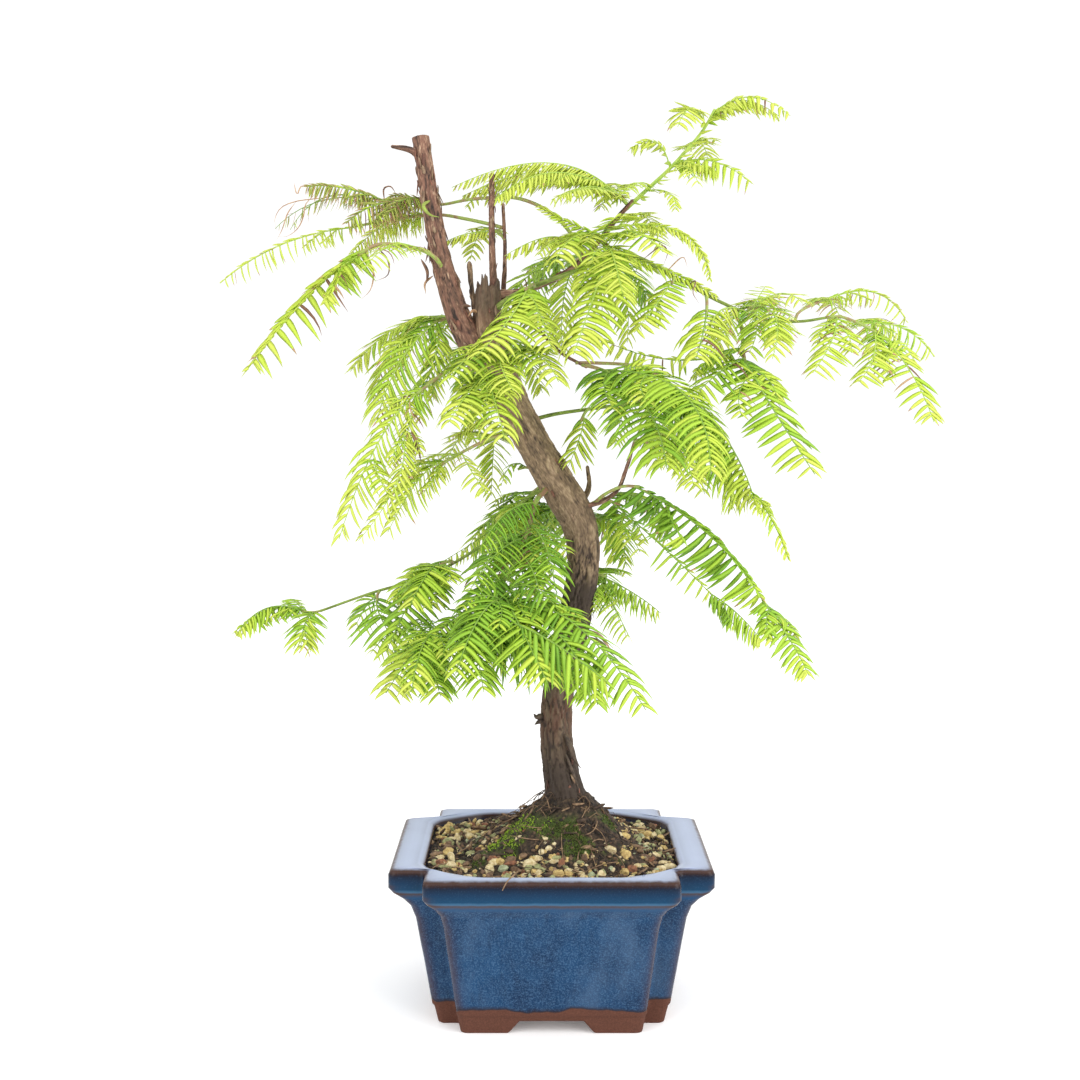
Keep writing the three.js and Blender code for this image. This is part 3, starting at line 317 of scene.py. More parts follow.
MASSES = (
    Mass("crown_leader", Region.CROWN, Tint.LIME, 0.02, (
        (35, 1.5, 379), (45, 0, 388), (55, -2, 397), (70, -4, 414), (75, -6, 423),
    ), (1, 0.6), (
        Spray((71, -4, 416), (88, -10, 427.5), (108, -16, 418), 8, HANGING, FANG),
        Spray((71, -4, 416), (63.5, -14, 422), (56.5, -22, 412), 12, TILTED, PLUME),
        Spray((57, -2, 399), (74, -9, 399), (91, -16, 388), 12, HANGING, FANG),
        Spray((55, -2, 397), (48, 1, 409.5), (35.5, 6, 406), 8, DROOPING, FANG),
        Spray((44, 0, 387), (54, -8, 385), (57, -11, 377), 6, FLAT, FINE),
        Spray((62, -3, 405), (70, 12, 412), (76, 26, 404), 10, BACK),
    ), extra=(
        Spray((37, 1.2, 381), (54.5, -2, 396.5), (74, -5, 420), 10, FLAT, CURLED),
        Spray((72, -4.5, 418), (86, -8, 426.5), (104, -13, 418), 9, DROOPING, FINE),
        Spray((55, -2, 397), (62, -10, 396), (67, -14, 388), 8, TILTED, HAIR),
        Spray((46, 0, 389), (39, -9, 389), (31, -13, 382), 7, TILTED, HAIR),
    )),
    Mass("arch_left", Region.CROWN, Tint.LIME, 0.02, (
        (36, 1.6, 380.5), (30, 6, 387), (21, 5, 392),
    ), (0.9, 0.7), (
        Spray((29, 5.4, 387.6), (-3, 7, 401), (-47, 10, 390), 10, DROOPING, FINE),
        Spray((21.5, 5, 391.6), (-3, -6, 394), (-26, -14, 381), 10, DROOPING, FINE),
        Spray((34, 3.6, 383.2), (20, -14, 386), (3, -24, 381), 9, TILTED, FINE),
        Spray((25, 5.4, 390), (-12, 26, 402), (-42, 38, 384), 9, BACK),
        Spray((32, 4.5, 385.2), (30, 26, 394), (24, 46, 384), 9, BACK),
    ), extra=(
        Spray((28, 5.3, 388), (-2, 17, 399), (-43, 25, 388), 12, DROOPING, FINE),
        Spray((22, 5, 391.4), (2, 16, 397), (-32, 23, 386), 11, DROOPING, FINE),
        Spray((33, 4, 384), (18, -6, 388), (0, -14, 381), 10, DROOPING, HAIR),
    )),
    Mass("upper_left_high", Region.UPPER_LEFT, Tint.OLIVE, 0.3, (
        (16, 6, 357), (10, 12, 368), (1, 14, 378), (-16, 17, 386), (-39, 21, 386), (-54, 24, 384),
        (-66, 22, 386), (-82, 20, 385),
    ), (1, 0.6), (
        Spray((-79, 20, 385), (-100, 18, 391), (-117, 15, 391), 9, HANGING, WISPY),
        Spray((-79, 20, 385), (-110, 24, 386), (-134, 28, 373), 9, DROOPING, DRY),
        Spray((-62, 22, 385), (-82, 15, 383), (-97, 9, 373), 13, HANGING, WISPY),
        Spray((-64, 22, 386), (-78, 40, 388), (-88, 56, 376), 10, BACK, WISPY),
    ), extra=(
        Spray((-55, 23.5, 384), (-78, 16, 380), (-85, 12, 366), 10, HANGING, DRY, 1),
        Spray((-58, 23.5, 384.5), (-70, 14, 385), (-84, 10, 374), 9, DROOPING, WISPY, 1),
        Spray((-98, 20, 388), (-114, 24, 385), (-126, 24, 372), 8, DROOPING, DRY),
    )),
    Mass("upper_left_long", Region.UPPER_LEFT, Tint.LIME, 0.08, (
        (-23, 16, 372), (-29, 19, 374), (-42, 21, 377), (-54, 23, 379), (-77, 25, 377), (-96, 22, 373),
    ), (0.9, 0.6), (
        Spray((-94, 22, 373), (-128, 14, 364), (-157, 8, 345), 10, HANGING, COMB),
        Spray((-60, 23, 379), (-80, 38, 377), (-100, 48, 363), 12, HANGING, WISPY),
    )),
    Mass("upper_left_low", Region.UPPER_LEFT, Tint.SPRING, 0.08, (
        (-51, 5, 351), (-54, -1, 356), (-59, -4, 359), (-70, -9, 361), (-80, -12, 361), (-89, -14, 356),
    ), (1.1, 0.8), (
        Spray((-85, -13, 358), (-111, -16, 338), (-141, -14, 303), 18, HANGING, JAW),
        Spray((-60, -4, 359), (-73, -18, 360), (-84, -30, 348), 12, TILTED, HAIR),
    )),
    Mass("stick_spray", Region.UPPER_LEFT, Tint.LIME, 0.05, (
        (-22, 15, 366), (-25, 17, 370), (-30, 18, 371),
    ), (0.8, 0.6), (
        Spray((-26, 17, 370), (-40, 14, 369), (-52, 13.5, 364), 7, DROOPING, FINE),
        Spray((-25, 17, 370), (-34, 32, 372), (-40, 46, 360), 9, BACK),
    )),
    Mass("upper_centre", Region.CROWN, Tint.LIME, 0.02, (
        (14, 5, 355), (12, 3, 361), (4, 3, 365),
    ), (0.8, 0.6), (
        Spray((10, 3, 362), (-2, 2, 366), (-22, 0, 357), 9, DROOPING),
        Spray((12, 3, 360), (4, -8, 364), (-6, -16, 356), 8, FLAT, FINE),
    )),
    Mass("left_upper", Region.LEFT, Tint.SPRING, 0.03, (
        (-34, 9, 327), (-40, 17, 330), (-46, 16, 330), (-56, 12, 327),
    ), (1, 0.7), (
        Spray((-53, 13, 328.5), (-71, 4, 309), (-82, -4, 280), 19, FRONT, FAN),
        Spray((-50, 14, 329.5), (-64, 44, 326), (-78, 70, 300), 16, BACK, FAN),
        Spray((-52, 14, 329), (-76, 18, 324), (-98, 26, 304), 14, BACK, FAN),
    ), extra=(
        Spray((-48, 15, 330), (-56, 40, 318), (-60, 58, 290), 15, BACK, FAN),
        Spray((-52, 14, 329), (-76, 38, 318), (-90, 52, 290), 15, BACK, FAN),
    )),
    Mass("left_mid", Region.LEFT, Tint.SPRING, 0.04, (
        (-51, -9, 302), (-56, -11, 298), (-62, -14, 293),
    ), (0.8, 0.7), (
        Spray((-58, -12, 296), (-79, -18, 272), (-98, -22, 226), 16, FRONT, FAN),
        Spray((-70, -15, 280), (-69, -30, 256), (-87, -38, 227), 10, FRONT, FAN),
        Spray((-82, -18, 263), (-79, -27, 256), (-73, -36, 246), 8, TILTED),
    )),
    Mass("left_back", Region.LEFT, Tint.LIME, 0.02, (
        (-12, 0, 278), (-18, 0, 275), (-29, -4, 272), (-43, -6, 265), (-55, -8, 258),
    ), (0.9, 0.6), (
        Spray((-50, -7, 261), (-62, -8, 253), (-77, -8, 228), 14, FRONT, FAN),
        Spray((-20, 0, 274), (-34, 6, 281), (-46, 12, 271), 9, DROOPING, FINE),
        Spray((-42, -6, 265.5), (-37, -15, 257), (-30, -19, 247), 9, TILTED),
        Spray((-30, -4, 272), (-44, 24, 272), (-56, 48, 250), 13, BACK, FAN),
    ), extra=(
        Spray((-26, -3, 273), (-28, 24, 268), (-30, 44, 242), 14, BACK, FAN),
        Spray((-44, -6, 264.5), (-66, 14, 258), (-78, 34, 232), 13, BACK, FAN),
    )),
    Mass("trunk_tuft", Region.LEFT, Tint.LEAF, 0, ((-5, 4, 256), (-12, 7, 258), (-16, 7, 257)), (0.8, 0.6), (
        Spray((-12, 7, 258), (-19, 6, 259), (-24, 5, 249), 7, FLAT),
    )),
    Mass("front_hang", Region.FRONT, Tint.SPRING, 0, (
        (-7.5, -4, 343), (-9, -11, 343), (-12, -18, 340),
    ), (0.9, 0.7), (
        Spray((-11, -16, 341), (-19, -28, 326.5), (-33, -36, 310), 17, FRONT, PLUME),
        Spray((-10.5, -15, 341.5), (-4.5, -27, 326.5), (0, -34, 312), 12, FRONT, PLUME),
    ), 1),
    Mass("front_head", Region.FRONT, Tint.SPRING, 0, (
        (-26, 2, 318), (-24, -8, 314), (-22, -17, 311),
    ), (0.9, 0.7), (
        Spray((-22, -15, 311.5), (-8, -27, 312), (3, -35, 298), 14, TILTED, PLUME),
        Spray((-22, -15, 311.5), (-34, -25, 312), (-46, -33, 299), 15, TILTED, PLUME),
        Spray((-22, -14, 311.5), (-23, -34, 306), (-17, -46, 294), 14, FRONT, PLUME),
    )),
    Mass("front_fall", Region.FRONT, Tint.SPRING, 0, (
        (-26, 2, 303), (-29, -12, 304), (-30, -22, 302),
    ), (0.9, 0.7), (
        Spray((-30, -21, 302.2), (-26, -34, 291), (-21, -44, 273), 16, FRONT, PLUME),
        Spray((-29.5, -16, 303), (-37, -32, 294), (-46, -42, 280), 14, FRONT, PLUME),
    )),
    Mass("right_hang", Region.FRONT, Tint.SPRING, 0, (
        (23, 3.6, 365), (22, -6, 366), (24, -14, 362), (27, -20, 358),
    ), (1, 0.7), (
        Spray((26.5, -19, 358.5), (18, -34, 334), (9.5, -40, 310), 18, FRONT, PLUME),
        Spray((24.5, -15, 361.5), (36, -28, 365), (49, -38, 355), 15, TILTED, TEETH),
        Spray((22.5, -9, 364.5), (10.5, -22, 363.5), (1, -28, 351), 14, TILTED, PLUME),
        Spray((25.5, -17, 360), (27, -42, 352), (30, -56, 336), 14, FRONT, TEETH),
        Spray((22.5, -10, 364.5), (27, -26, 370), (33, -36, 372), 12, TILTED, TEETH),
        Spray((21.8, -7, 366), (8, -6, 372), (-5.5, -2, 380), 6, DROOPING, ROPE),
    )),
    Mass("right_arch", Region.CROWN, Tint.LIME, 0, (
        (26, 3.2, 369), (30, -1, 370), (34, -3, 371),
    ), (0.8, 0.7), (
        Spray((32, -2.2, 370.5), (61, -9, 366), (73, -14, 344.5), 6, DROOPING, ROPE),
        Spray((31, -1.6, 370.3), (44, 16, 378), (54, 34, 364), 10, BACK),
    ), extra=(
        Spray((28, -10, 356.5), (52.5, -12.5, 349.5), (77, -13.5, 336.5), 7, DROOPING, ROPE),
    )),
    Mass("right_small", Region.RIGHT, Tint.SPRING, 0, (
        (56, -12, 346.8), (56, -15, 345.5), (55, -18, 343),
    ), (0.8, 0.7), (
        Spray((55.5, -16, 344.5), (48, -23, 334), (37, -30, 320), 11, FRONT, TEETH),
    )),
    Mass("right_fan", Region.RIGHT, Tint.LEAF, 0.02, (
        (71, -12.6, 338.7), (71, -17, 335), (70.5, -21, 328),
    ), (0.8, 0.7), (
        Spray((70.7, -19, 331), (68, -30, 320), (64, -37, 308), 16, FRONT, PLUME, 1),
    )),
    Mass("right_crest", Region.RIGHT, Tint.SPRING, 0.12, (
        (90, -13, 329.5), (91, -16, 332), (94, -18, 333),
    ), (0.8, 0.7), (
        Spray((93, -17.5, 333), (104, -24, 338), (112, -32, 333), 12, TILTED),
        Spray((92, -17, 332.5), (96, -10, 338), (100, -2, 343), 9, FRONT, HAIR),
        Spray((93, -17.5, 333), (100, -34, 326), (97, -44, 308), 11, FRONT),
        Spray((91, -16, 332), (102, 16, 337), (112, 44, 320), 13, BACK),
    ), extra=(
        Spray((91.5, -16.5, 332), (86, 14, 328), (80, 40, 306), 14, BACK, FAN),
        Spray((86, -13.5, 331.8), (75, -22, 329), (71, -28, 315), 12, DROOPING, HAIR, 1),
        Spray((87, -13.6, 331.4), (93, -22, 324), (89, -28, 311), 12, TILTED, FINE),
        Spray((100, -14.5, 327), (103, -24, 324), (96, -34, 314), 12, FRONT, QUILL),
    )),
    Mass("far_right_upper", Region.RIGHT, Tint.SPRING, 0.1, (
        (112, -14, 326), (114, -10, 330), (121, -7, 334), (130, -5, 337),
    ), (0.7, 0.6), (
        Spray((127, -6, 336), (150, -4, 340), (165, -8, 326), 9, HANGING, COMB),
        Spray((119, -8, 333), (133, 14, 338), (144, 32, 324), 11, BACK),
    )),
    Mass("far_right_tip", Region.RIGHT, Tint.SPRING, 0.06, (
        (126, -14, 327.8), (133, -15, 328), (141, -16, 325), (152, -18, 319),
    ), (0.7, 0.6), (
        Spray((142, -16, 324.5), (162, -12, 323), (178, -8, 310), 11, HANGING, COMB),
        Spray((148, -17.5, 321), (145, -28, 309), (137, -36, 298), 12, FRONT, QUILL),
        Spray((131, -14.8, 328), (126, -28, 316), (116, -38, 302), 14, FRONT, QUILL),
        Spray((150, -18, 320), (163, -24, 303), (173, -29, 280), 13, FRONT, QUILL),
        Spray((142, -16, 324.5), (152, 8, 326), (160, 26, 308), 11, BACK),
    )),
    Mass("right_swing", Region.RIGHT, Tint.LEAF, 0.02, (
        (84, -13, 332), (87, -18, 322), (87, -22, 314), (88, -25, 306),
    ), (0.8, 0.7), (
        Spray((88, -24.5, 308), (98, -34, 288), (117, -42, 257), 18, FRONT, TEETH),
        Spray((87, -22, 313), (54, -16.5, 308.5), (18, -10, 320.5), 9, HANGING, BARE),
        Spray((87.3, -22, 313), (76, -19, 311), (64, -15, 300), 11, FLAT, FINE),
    ), extra=(
        Spray((87.5, -24, 309), (75, -30, 302), (62, -36, 290), 14, TILTED, FERN),
    )),
    Mass("front_right", Region.FRONT, Tint.LEAF, 0, (
        (14, -17.5, 306), (19, -20, 305), (27, -27, 302),
    ), (0.9, 0.8), (
        Spray((22, -23, 304), (41, -44, 288), (50, -56, 260), 24, FRONT, PLUME),
        Spray((25, -25, 303), (57, -60, 292), (66, -80, 258), 17, FRONT, PLUME),
    )),
    Mass("front_right_fall", Region.FRONT, Tint.LEAF, 0, (
        (11, -17.2, 307), (20, -16, 307), (41, -18, 305), (53, -18, 299),
    ), (0.8, 0.7), (
        Spray((51, -18, 300), (77, -24, 276), (92, -30, 245), 24, HANGING, PLUME),
        Spray((90, -29.3, 249), (99, -33, 237), (107, -36, 218), 7, FLAT, ROPE, 2),
        Spray((64, -20.5, 291), (82, -8, 266), (86, 2, 238), 14, DROOPING),
    )),
    Mass("front_right_under", Region.RIGHT, Tint.LIME, 0, (
        (38, -20, 271), (41, -25, 272), (47, -27, 268),
    ), (0.7, 0.6), (
        Spray((44, -26.5, 270), (58, -30, 266), (64, -34, 250), 12, FRONT),
        Spray((43, -26, 271), (60, -14, 268), (72, -8, 246), 13, FRONT),
    )),
    Mass("back_right", Region.BACK, Tint.SPRING, 0, ((18, 9, 286), (16, 4, 284), (14, 2, 280)), (0.8, 0.7), (
        Spray((15.5, 3, 282.5), (14, 0, 274), (8, -6, 259), 13, FRONT, FAN),
    ), 3),
    Mass("back_right_end", Region.BACK, Tint.LEAF, 0, (
        (38, 7.5, 288.5), (44, 12, 290), (48, 18, 291),
    ), (0.7, 0.6), (
        Spray((42, 10.5, 289.5), (54, 14, 294), (64, 20, 284), 12, FLAT),
        Spray((46, 15, 290.5), (58, 44, 294), (66, 70, 270), 15, BACK, FAN),
        Spray((45, 14, 290.3), (40, 46, 292), (34, 78, 266), 15, BACK, FAN),
    ), extra=(
        Spray((46, 16, 290.5), (52, 38, 282), (54, 56, 256), 15, BACK, FAN),
        Spray((47, 17, 291), (72, 30, 288), (86, 46, 268), 14, BACK, FAN),
    )),
    Mass("low_right_long", Region.LOW_RIGHT, Tint.LEAF, 0.02, (
        (21, -2, 242), (25, -9, 246), (33, -13, 250), (41, -14, 250),
    ), (0.9, 0.7), (
        Spray((38, -13.7, 250.3), (74, -16, 227), (100, -20, 194), 21, HANGING, SWEPT, -1),
        Spray((98, -20, 197), (110, -23, 180), (119, -27, 163), 12, TILTED, FERN),
    )),
    Mass("low_right_inner", Region.LOW_RIGHT, Tint.LEAF, 0, (
        (18, -1, 240.5), (25, 3, 243), (33, 3, 240),
    ), (0.9, 0.7), (
        Spray((28, 3, 242.5), (53, 3, 220.5), (78, 8, 196), 12, HANGING, BARE),
        Spray((77, 8, 197), (91, 11, 186.5), (103.5, 14, 172.5), 11, HANGING, FINE),
        Spray((26, 3, 243), (44, 28, 242), (60, 48, 218), 14, BACK, FAN),
    ), extra=(
        Spray((27, 3, 242.8), (34, 26, 232), (38, 42, 208), 14, BACK, FAN),
    )),
    Mass("low_right_back", Region.LOW_RIGHT, Tint.LEAF, 0, (
        (14, 5, 231), (22, 10, 233), (26, 12, 232),
    ), (0.8, 0.7), (
        Spray((21, 9.5, 232.8), (33, 9, 230), (43, 8, 217), 14, TILTED, HAIR),
        Spray((23, 11, 232.8), (30, 36, 230), (34, 62, 206), 14, BACK, FAN),
    )),
    Mass("low_right_spray", Region.LOW_RIGHT, Tint.LEAF, 0, (
        (14, 4, 205), (21, 9, 206.5), (26, 8.5, 205),
    ), (0.8, 0.7), (
        Spray((22.5, 9, 206), (39, 5, 198), (52.5, 0, 188.5), 12, HANGING, HAIR),
        Spray((22.5, 8.8, 206), (29, -2, 194), (37, -10, 178.5), 12, DROOPING, HAIR),
        Spray((22, 9, 206.3), (28, 34, 204), (26, 58, 182), 14, BACK, FAN),
    )),
    Mass("low_left_tip", Region.LOW_LEFT, Tint.LEAF, 0, (
        (-49, -20, 186), (-54, -22, 182.5), (-60, -25, 177),
    ), (0.8, 0.7), (
        Spray((-55, -22.5, 181.5), (-66, -27, 170.5), (-76, -32, 156), 17, FRONT, FERN),
        Spray((-53, -22, 183), (-58, -44, 180), (-62, -57, 162), 15, TILTED, FERN),
        Spray((-53, -21.5, 183.5), (-70, -10, 184), (-86, -6, 170), 16, TILTED, HAIR),
        Spray((-57, -23.5, 179.5), (-54.5, -36, 170.5), (-50, -44, 157), 15, FRONT, FERN),
    )),
    Mass("low_left_front", Region.LOW_LEFT, Tint.DEEP, 0, (
        (-22, -17.5, 204), (-22, -24, 201), (-20.5, -29, 198),
    ), (1, 0.8), (
        Spray((-21, -27, 199), (11, -42, 189), (42, -49, 152), 20, TILTED, FERN),
        Spray((-21.5, -25, 200), (-14, -52, 190), (-2, -68, 168), 20, FRONT, FERN),
        Spray((-21.5, -26, 199.5), (-32, -48, 194), (-42, -62, 171), 18, FRONT, FERN),
        Spray((-20.8, -28, 199), (5, -50, 184), (20, -62, 157), 18, TILTED, FERN),
        Spray((-21.5, -24, 200.5), (-10, -34, 206), (3, -41, 196), 14, TILTED),
    ), extra=(
        Spray((-8, -9, 242), (-21, -20, 238), (-33, -27, 222), 13, DROOPING, HAIR, -1),
        Spray((-10.5, -12.5, 232), (-4, -24, 226), (1, -30, 211), 13, TILTED, HAIR, -1),
        Spray((-13, -14, 226), (-26, -24, 219), (-38, -30, 202), 13, TILTED, HAIR, -1),
        Spray((-15.5, -15.5, 219), (-9, -28, 213), (-4, -36, 197), 14, FRONT, HAIR),
        Spray((-22, -17.5, 207), (-32, -30, 202), (-40, -36, 186), 15, FRONT, FERN, -1),
        Spray((-27, -18.5, 199), (-17, -30, 196), (-8, -38, 181), 15, FRONT, HAIR, -1),
    )),
    Mass("low_left_under", Region.LOW_LEFT, Tint.DEEP, 0, (
        (-34, -18.8, 194), (-32.5, -24, 190), (-32, -29, 188),
    ), (0.8, 0.7), (
        Spray((-32, -26, 189.5), (-17, -37, 184.5), (0, -43, 175), 24, HANGING, FERN),
        Spray((-32.5, -23, 191), (-41, -32, 184), (-49, -38, 165), 20, FRONT, FERN),
        Spray((-33.3, -21, 192.5), (-34, -8, 186), (-40, 2, 165), 18, BACK),
        Spray((-32, -27, 189), (-33, -46, 180), (-30, -58, 162), 17, FRONT, FERN),
    ), extra=(
        Spray((-32, -26.5, 189.3), (-9, -56, 189), (24, -67, 168), 24, HANGING, DRAPE),
    )),
    Mass("long_left_tip", Region.LOW_LEFT, Tint.LEAF, 0.02, (
        (-108, 4.3, 190), (-114, 4, 188.5), (-120, 4, 189),
    ), (0.6, 0.5), (
        Spray((-117, 4, 188.6), (-134, 2, 190), (-152, -4, 179), 10, DROOPING, SWEPT),
        Spray((-113.5, 4, 188.5), (-117, -5, 184), (-113, -14, 172), 11, FRONT, FAN),
        Spray((-119, 4, 188.9), (-125, 12, 193), (-129, 22, 192), 7, BACK, FINE),
    ), extra=(
        Spray((-113.5, 4, 188.5), (-117, -5, 184.5), (-118, -12, 173), 13, FRONT, FERN),
        Spray((-120, 3.8, 189), (-136, 0, 191), (-149, -6, 180), 11, DROOPING, FINE),
    )),
    Mass("low_left_drop", Region.LOW_LEFT, Tint.LEAF, 0, (
        (-82.5, 6.2, 198.6), (-83.3, 3, 197), (-83, -1, 194.5),
    ), (0.7, 0.7), (
        Spray((-83.2, 1, 195.8), (-81.5, -6, 189), (-74, -9, 176), 20, FRONT, FERN),
        Spray((-83.3, 2, 196.4), (-88.5, 8, 192), (-95, 12, 181), 14, FRONT, FAN),
    )),
    Mass("low_left_fans", Region.LOW_LEFT, Tint.LEAF, 0, (
        (-47, 9.3, 212), (-49, 5, 213), (-55, 1, 211),
    ), (0.8, 0.7), (
        Spray((-49.5, 4.5, 213), (-61, 1, 210), (-75, -3, 199), 19, HANGING, FERN),
        Spray((-54, 1.8, 211.3), (-65, -12, 198), (-77, -20, 173), 18, FRONT, FERN),
        Spray((-53.5, 2, 211.5), (-57.5, -18, 210), (-65, -29, 196), 15, TILTED, FERN),
    )),
    Mass("low_left_comb", Region.LOW_LEFT, Tint.LEAF, 0, (
        (-3, 8.8, 249.5), (-7, 15, 247), (-12, 21, 242),
    ), (0.9, 0.7), (
        Spray((-10, 18.5, 244), (-27, 25, 228), (-53, 24, 211), 11, HANGING, HAIR),
        Spray((-9, 17.5, 245), (-22, 44, 238), (-38, 62, 210), 15, BACK, FAN),
        Spray((-11, 19.5, 243), (-15, 30, 231), (-11.5, 34, 207), 13, FRONT),
        Spray((-10.5, 19, 243.5), (-24.5, 12, 227), (-33, 8, 205), 12, TILTED),
    )),
    Mass("low_left_inner", Region.LOW_LEFT, Tint.DEEP, 0.02, (
        (-11, -13, 230), (-10, -8, 227), (-10.5, -3, 224),
    ), (0.8, 0.7), (
        Spray((-10.5, -5, 225.5), (-14, 0, 212), (-9, 2, 187), 17, FRONT),
        Spray((-10, -7, 226.5), (-24, -4, 222), (-37, -6, 203), 16, TILTED),
        Spray((-10, -7.5, 226.7), (-2.5, -16, 219.5), (3, -21, 197), 15, FRONT),
        Spray((-10.5, -4, 225), (-21.5, 4, 211), (-26, 2, 188), 16, FRONT),
    )),
    Mass("back_high", Region.BACK, Tint.LEAF, 0.02, (
        (10, 6, 352), (12, 14, 356), (16, 28, 359), (20, 40, 360),
    ), (1.2, 0.8), (
        Spray((19, 38, 360), (25, 68, 360), (28, 96, 334), 17, BACK, FAN),
        Spray((16, 27, 359), (36, 50, 361), (50, 68, 342), 15, BACK, FAN),
        Spray((14, 22, 358), (0, 50, 358), (-10, 74, 338), 15, BACK, FAN),
    ), 4, (
        Spray((18, 34, 359.5), (36, 56, 350), (40, 72, 320), 16, BACK, FAN),
        Spray((13, 18, 357), (-12, 34, 350), (-24, 50, 326), 15, BACK, FAN),
        Spray((17, 30, 359), (8, 58, 348), (6, 78, 318), 16, BACK, FAN),
        Spray((12, 15, 356.5), (36, 30, 352), (56, 44, 330), 14, BACK, FAN),
    )),
    Mass("back_head", Region.BACK, Tint.LEAF, 0.02, (
        (-30, 6, 318), (-31, 18, 318), (-33, 34, 317),
    ), (1.2, 0.8), (
        Spray((-33, 32, 317), (-40, 62, 312), (-46, 90, 284), 17, BACK, FAN),
        Spray((-32, 25, 317.5), (-16, 50, 316), (-4, 72, 294), 15, BACK, FAN),
    ), 4, (
        Spray((-32.5, 30, 317.3), (-58, 50, 308), (-68, 70, 278), 15, BACK, FAN),
        Spray((-32, 22, 318), (-22, 42, 304), (-20, 56, 276), 15, BACK, FAN),
        Spray((-32.5, 30, 317.3), (-36, 54, 300), (-40, 70, 268), 16, BACK, FAN),
    )),
    Mass("back_low", Region.BACK, Tint.LEAF, 0.02, ((10, 3, 238), (5, 20, 238), (1, 32, 236)), (1.2, 0.8), (
        Spray((1.3, 31, 236.3), (-12, 62, 230), (-26, 92, 200), 17, BACK, FAN),
        Spray((3, 26, 237.3), (10, 60, 228), (14, 88, 198), 17, BACK, FAN),
        Spray((4.5, 21, 238), (-10, 38, 228), (-24, 50, 200), 15, BACK, FAN),
    ), 4, (
        Spray((2, 30, 236.5), (24, 46, 230), (40, 60, 204), 15, BACK, FAN),
        Spray((2.5, 29, 236.7), (-4, 56, 220), (-8, 74, 188), 16, BACK, FAN),
        Spray((4, 24, 237.5), (-22, 38, 236), (-44, 52, 212), 15, BACK, FAN),
    )),
)


def unit(v: Array) -> Array:
    """Each vector divided by its own length."""
    return v / np.maximum(np.linalg.norm(v, axis=-1, keepdims=True), 1e-9)


def square(v: Array, along: Array) -> Array:
    """Unit way of v once its part along a unit heading is taken off."""
    return unit(v - along * (v * along).sum(-1, keepdims=True))


def outward(along: Array, side: Array, angle: Array) -> Array:
    """Way out from a heading: its side way times the cosine, plus the way square to both times the sine."""
    return side * np.cos(angle) + np.cross(along, side) * np.sin(angle)


def vary(k: Array) -> Array:
    """Even but irregular spread in -1 to 1: twice the fraction of k times the golden ratio, less one."""
    return 2 * np.mod(np.asarray(k) * GOLDEN, 1.0) - 1


def blend(a: Array, b: Array, share: Array) -> Array:
    """a at share 0, b at share 1, and in proportion between."""
    return a + (b - a) * share


def ease(low: float, high: float, value: Array) -> Array:
    """0 below low, 1 above high, and 3 t squared less 2 t cubed between."""
    t = np.clip((value - low) / (high - low), 0, 1)
    return t * t * (3 - 2 * t)


def hump(middle: float, spread: float, value: Array) -> Array:
    """1 at the middle, falling off as the bell curve whose value is 1/e one spread away."""
    return np.exp(-(((value - middle) / spread) ** 2))


def from_patch(at: Array, middle: Pair, reach: Pair) -> Array:
    """How far places lie from a middle in plan, as a share of the reach each way."""
    return np.hypot((at[..., 0] - middle[0]) / reach[0], (at[..., 1] - middle[1]) / reach[1])


def scatter(cells: Array, seed: int) -> Array:
    """A value in 0 to 1 for each whole-number cell: products of its parts, mixed by shifts and a multiply.

    Args:
        cells: cells, three whole numbers each.
        seed: number of the pattern.

    Returns:
        One value for each cell.
    """
    n = (cells.astype(np.int64) * np.array([73856093, 19349663, 83492791])).sum(-1) + seed * 40503
    n = ((n ^ (n >> 13)) * 1274126177) & 0x7FFFFFFF
    return ((n ^ (n >> 16)) & 0xFFFFFF) / 0xFFFFFF


def grain(points: Array, seed: int = 0) -> Array:
    """Smooth noise in -1 to 1: the eight corner values of each unit cell, blended by eased distances.

    Args:
        points: places, in cells.
        seed: number of the pattern.

    Returns:
        One value for each place.
    """
    cell = np.floor(points)
    t = points - cell
    t = t * t * (3 - 2 * t)
    total = np.zeros(points.shape[:-1])
    for corner in np.ndindex(2, 2, 2):
        share = np.prod(np.where(np.array(corner) == 1, t, 1 - t), axis=-1)
        total += share * scatter(cell + np.array(corner), seed)
    return 2 * total - 1


def layered(points: Array, seed: int = 0, layers: int = 3) -> Array:
    """Noise in -1 to 1: the sum of grain at doubled scales and halved heights.

    Args:
        points: places, in cells of the widest layer.
        seed: number of the pattern.
        layers: number of layers.

    Returns:
        One value for each place.
    """
    total = np.zeros(points.shape[:-1])
    for k in range(layers):
        total += grain(points * 2.0**k, seed + k) * 0.5**k
    return total / (2 - 0.5 ** (layers - 1))


def plates(points: Array, seed: int = 0) -> tuple[Array, Array]:
    """Cracked plates: one random point lives in each cell of space.

    Args:
        points: places, in cells.
        seed: number of the pattern.

    Returns:
        How much nearer the nearest point is than the next (0 in a crack), and each plate's own number in
        0 to 1.
    """
    cell = np.floor(points)
    first = np.full(points.shape[:-1], 9.0)
    second = first.copy()
    own = np.zeros_like(first)
    for step in np.ndindex(3, 3, 3):
        there = cell + np.array(step) - 1
        spot = there + np.stack([scatter(there, seed + k) for k in range(3)], axis=-1)
        gap = np.linalg.norm(points - spot, axis=-1)
        nearer = gap < first
        second = np.where(nearer, first, np.minimum(second, gap))
        own = np.where(nearer, scatter(there, seed + 7), own)
        first = np.where(nearer, gap, first)
    return second - first, own


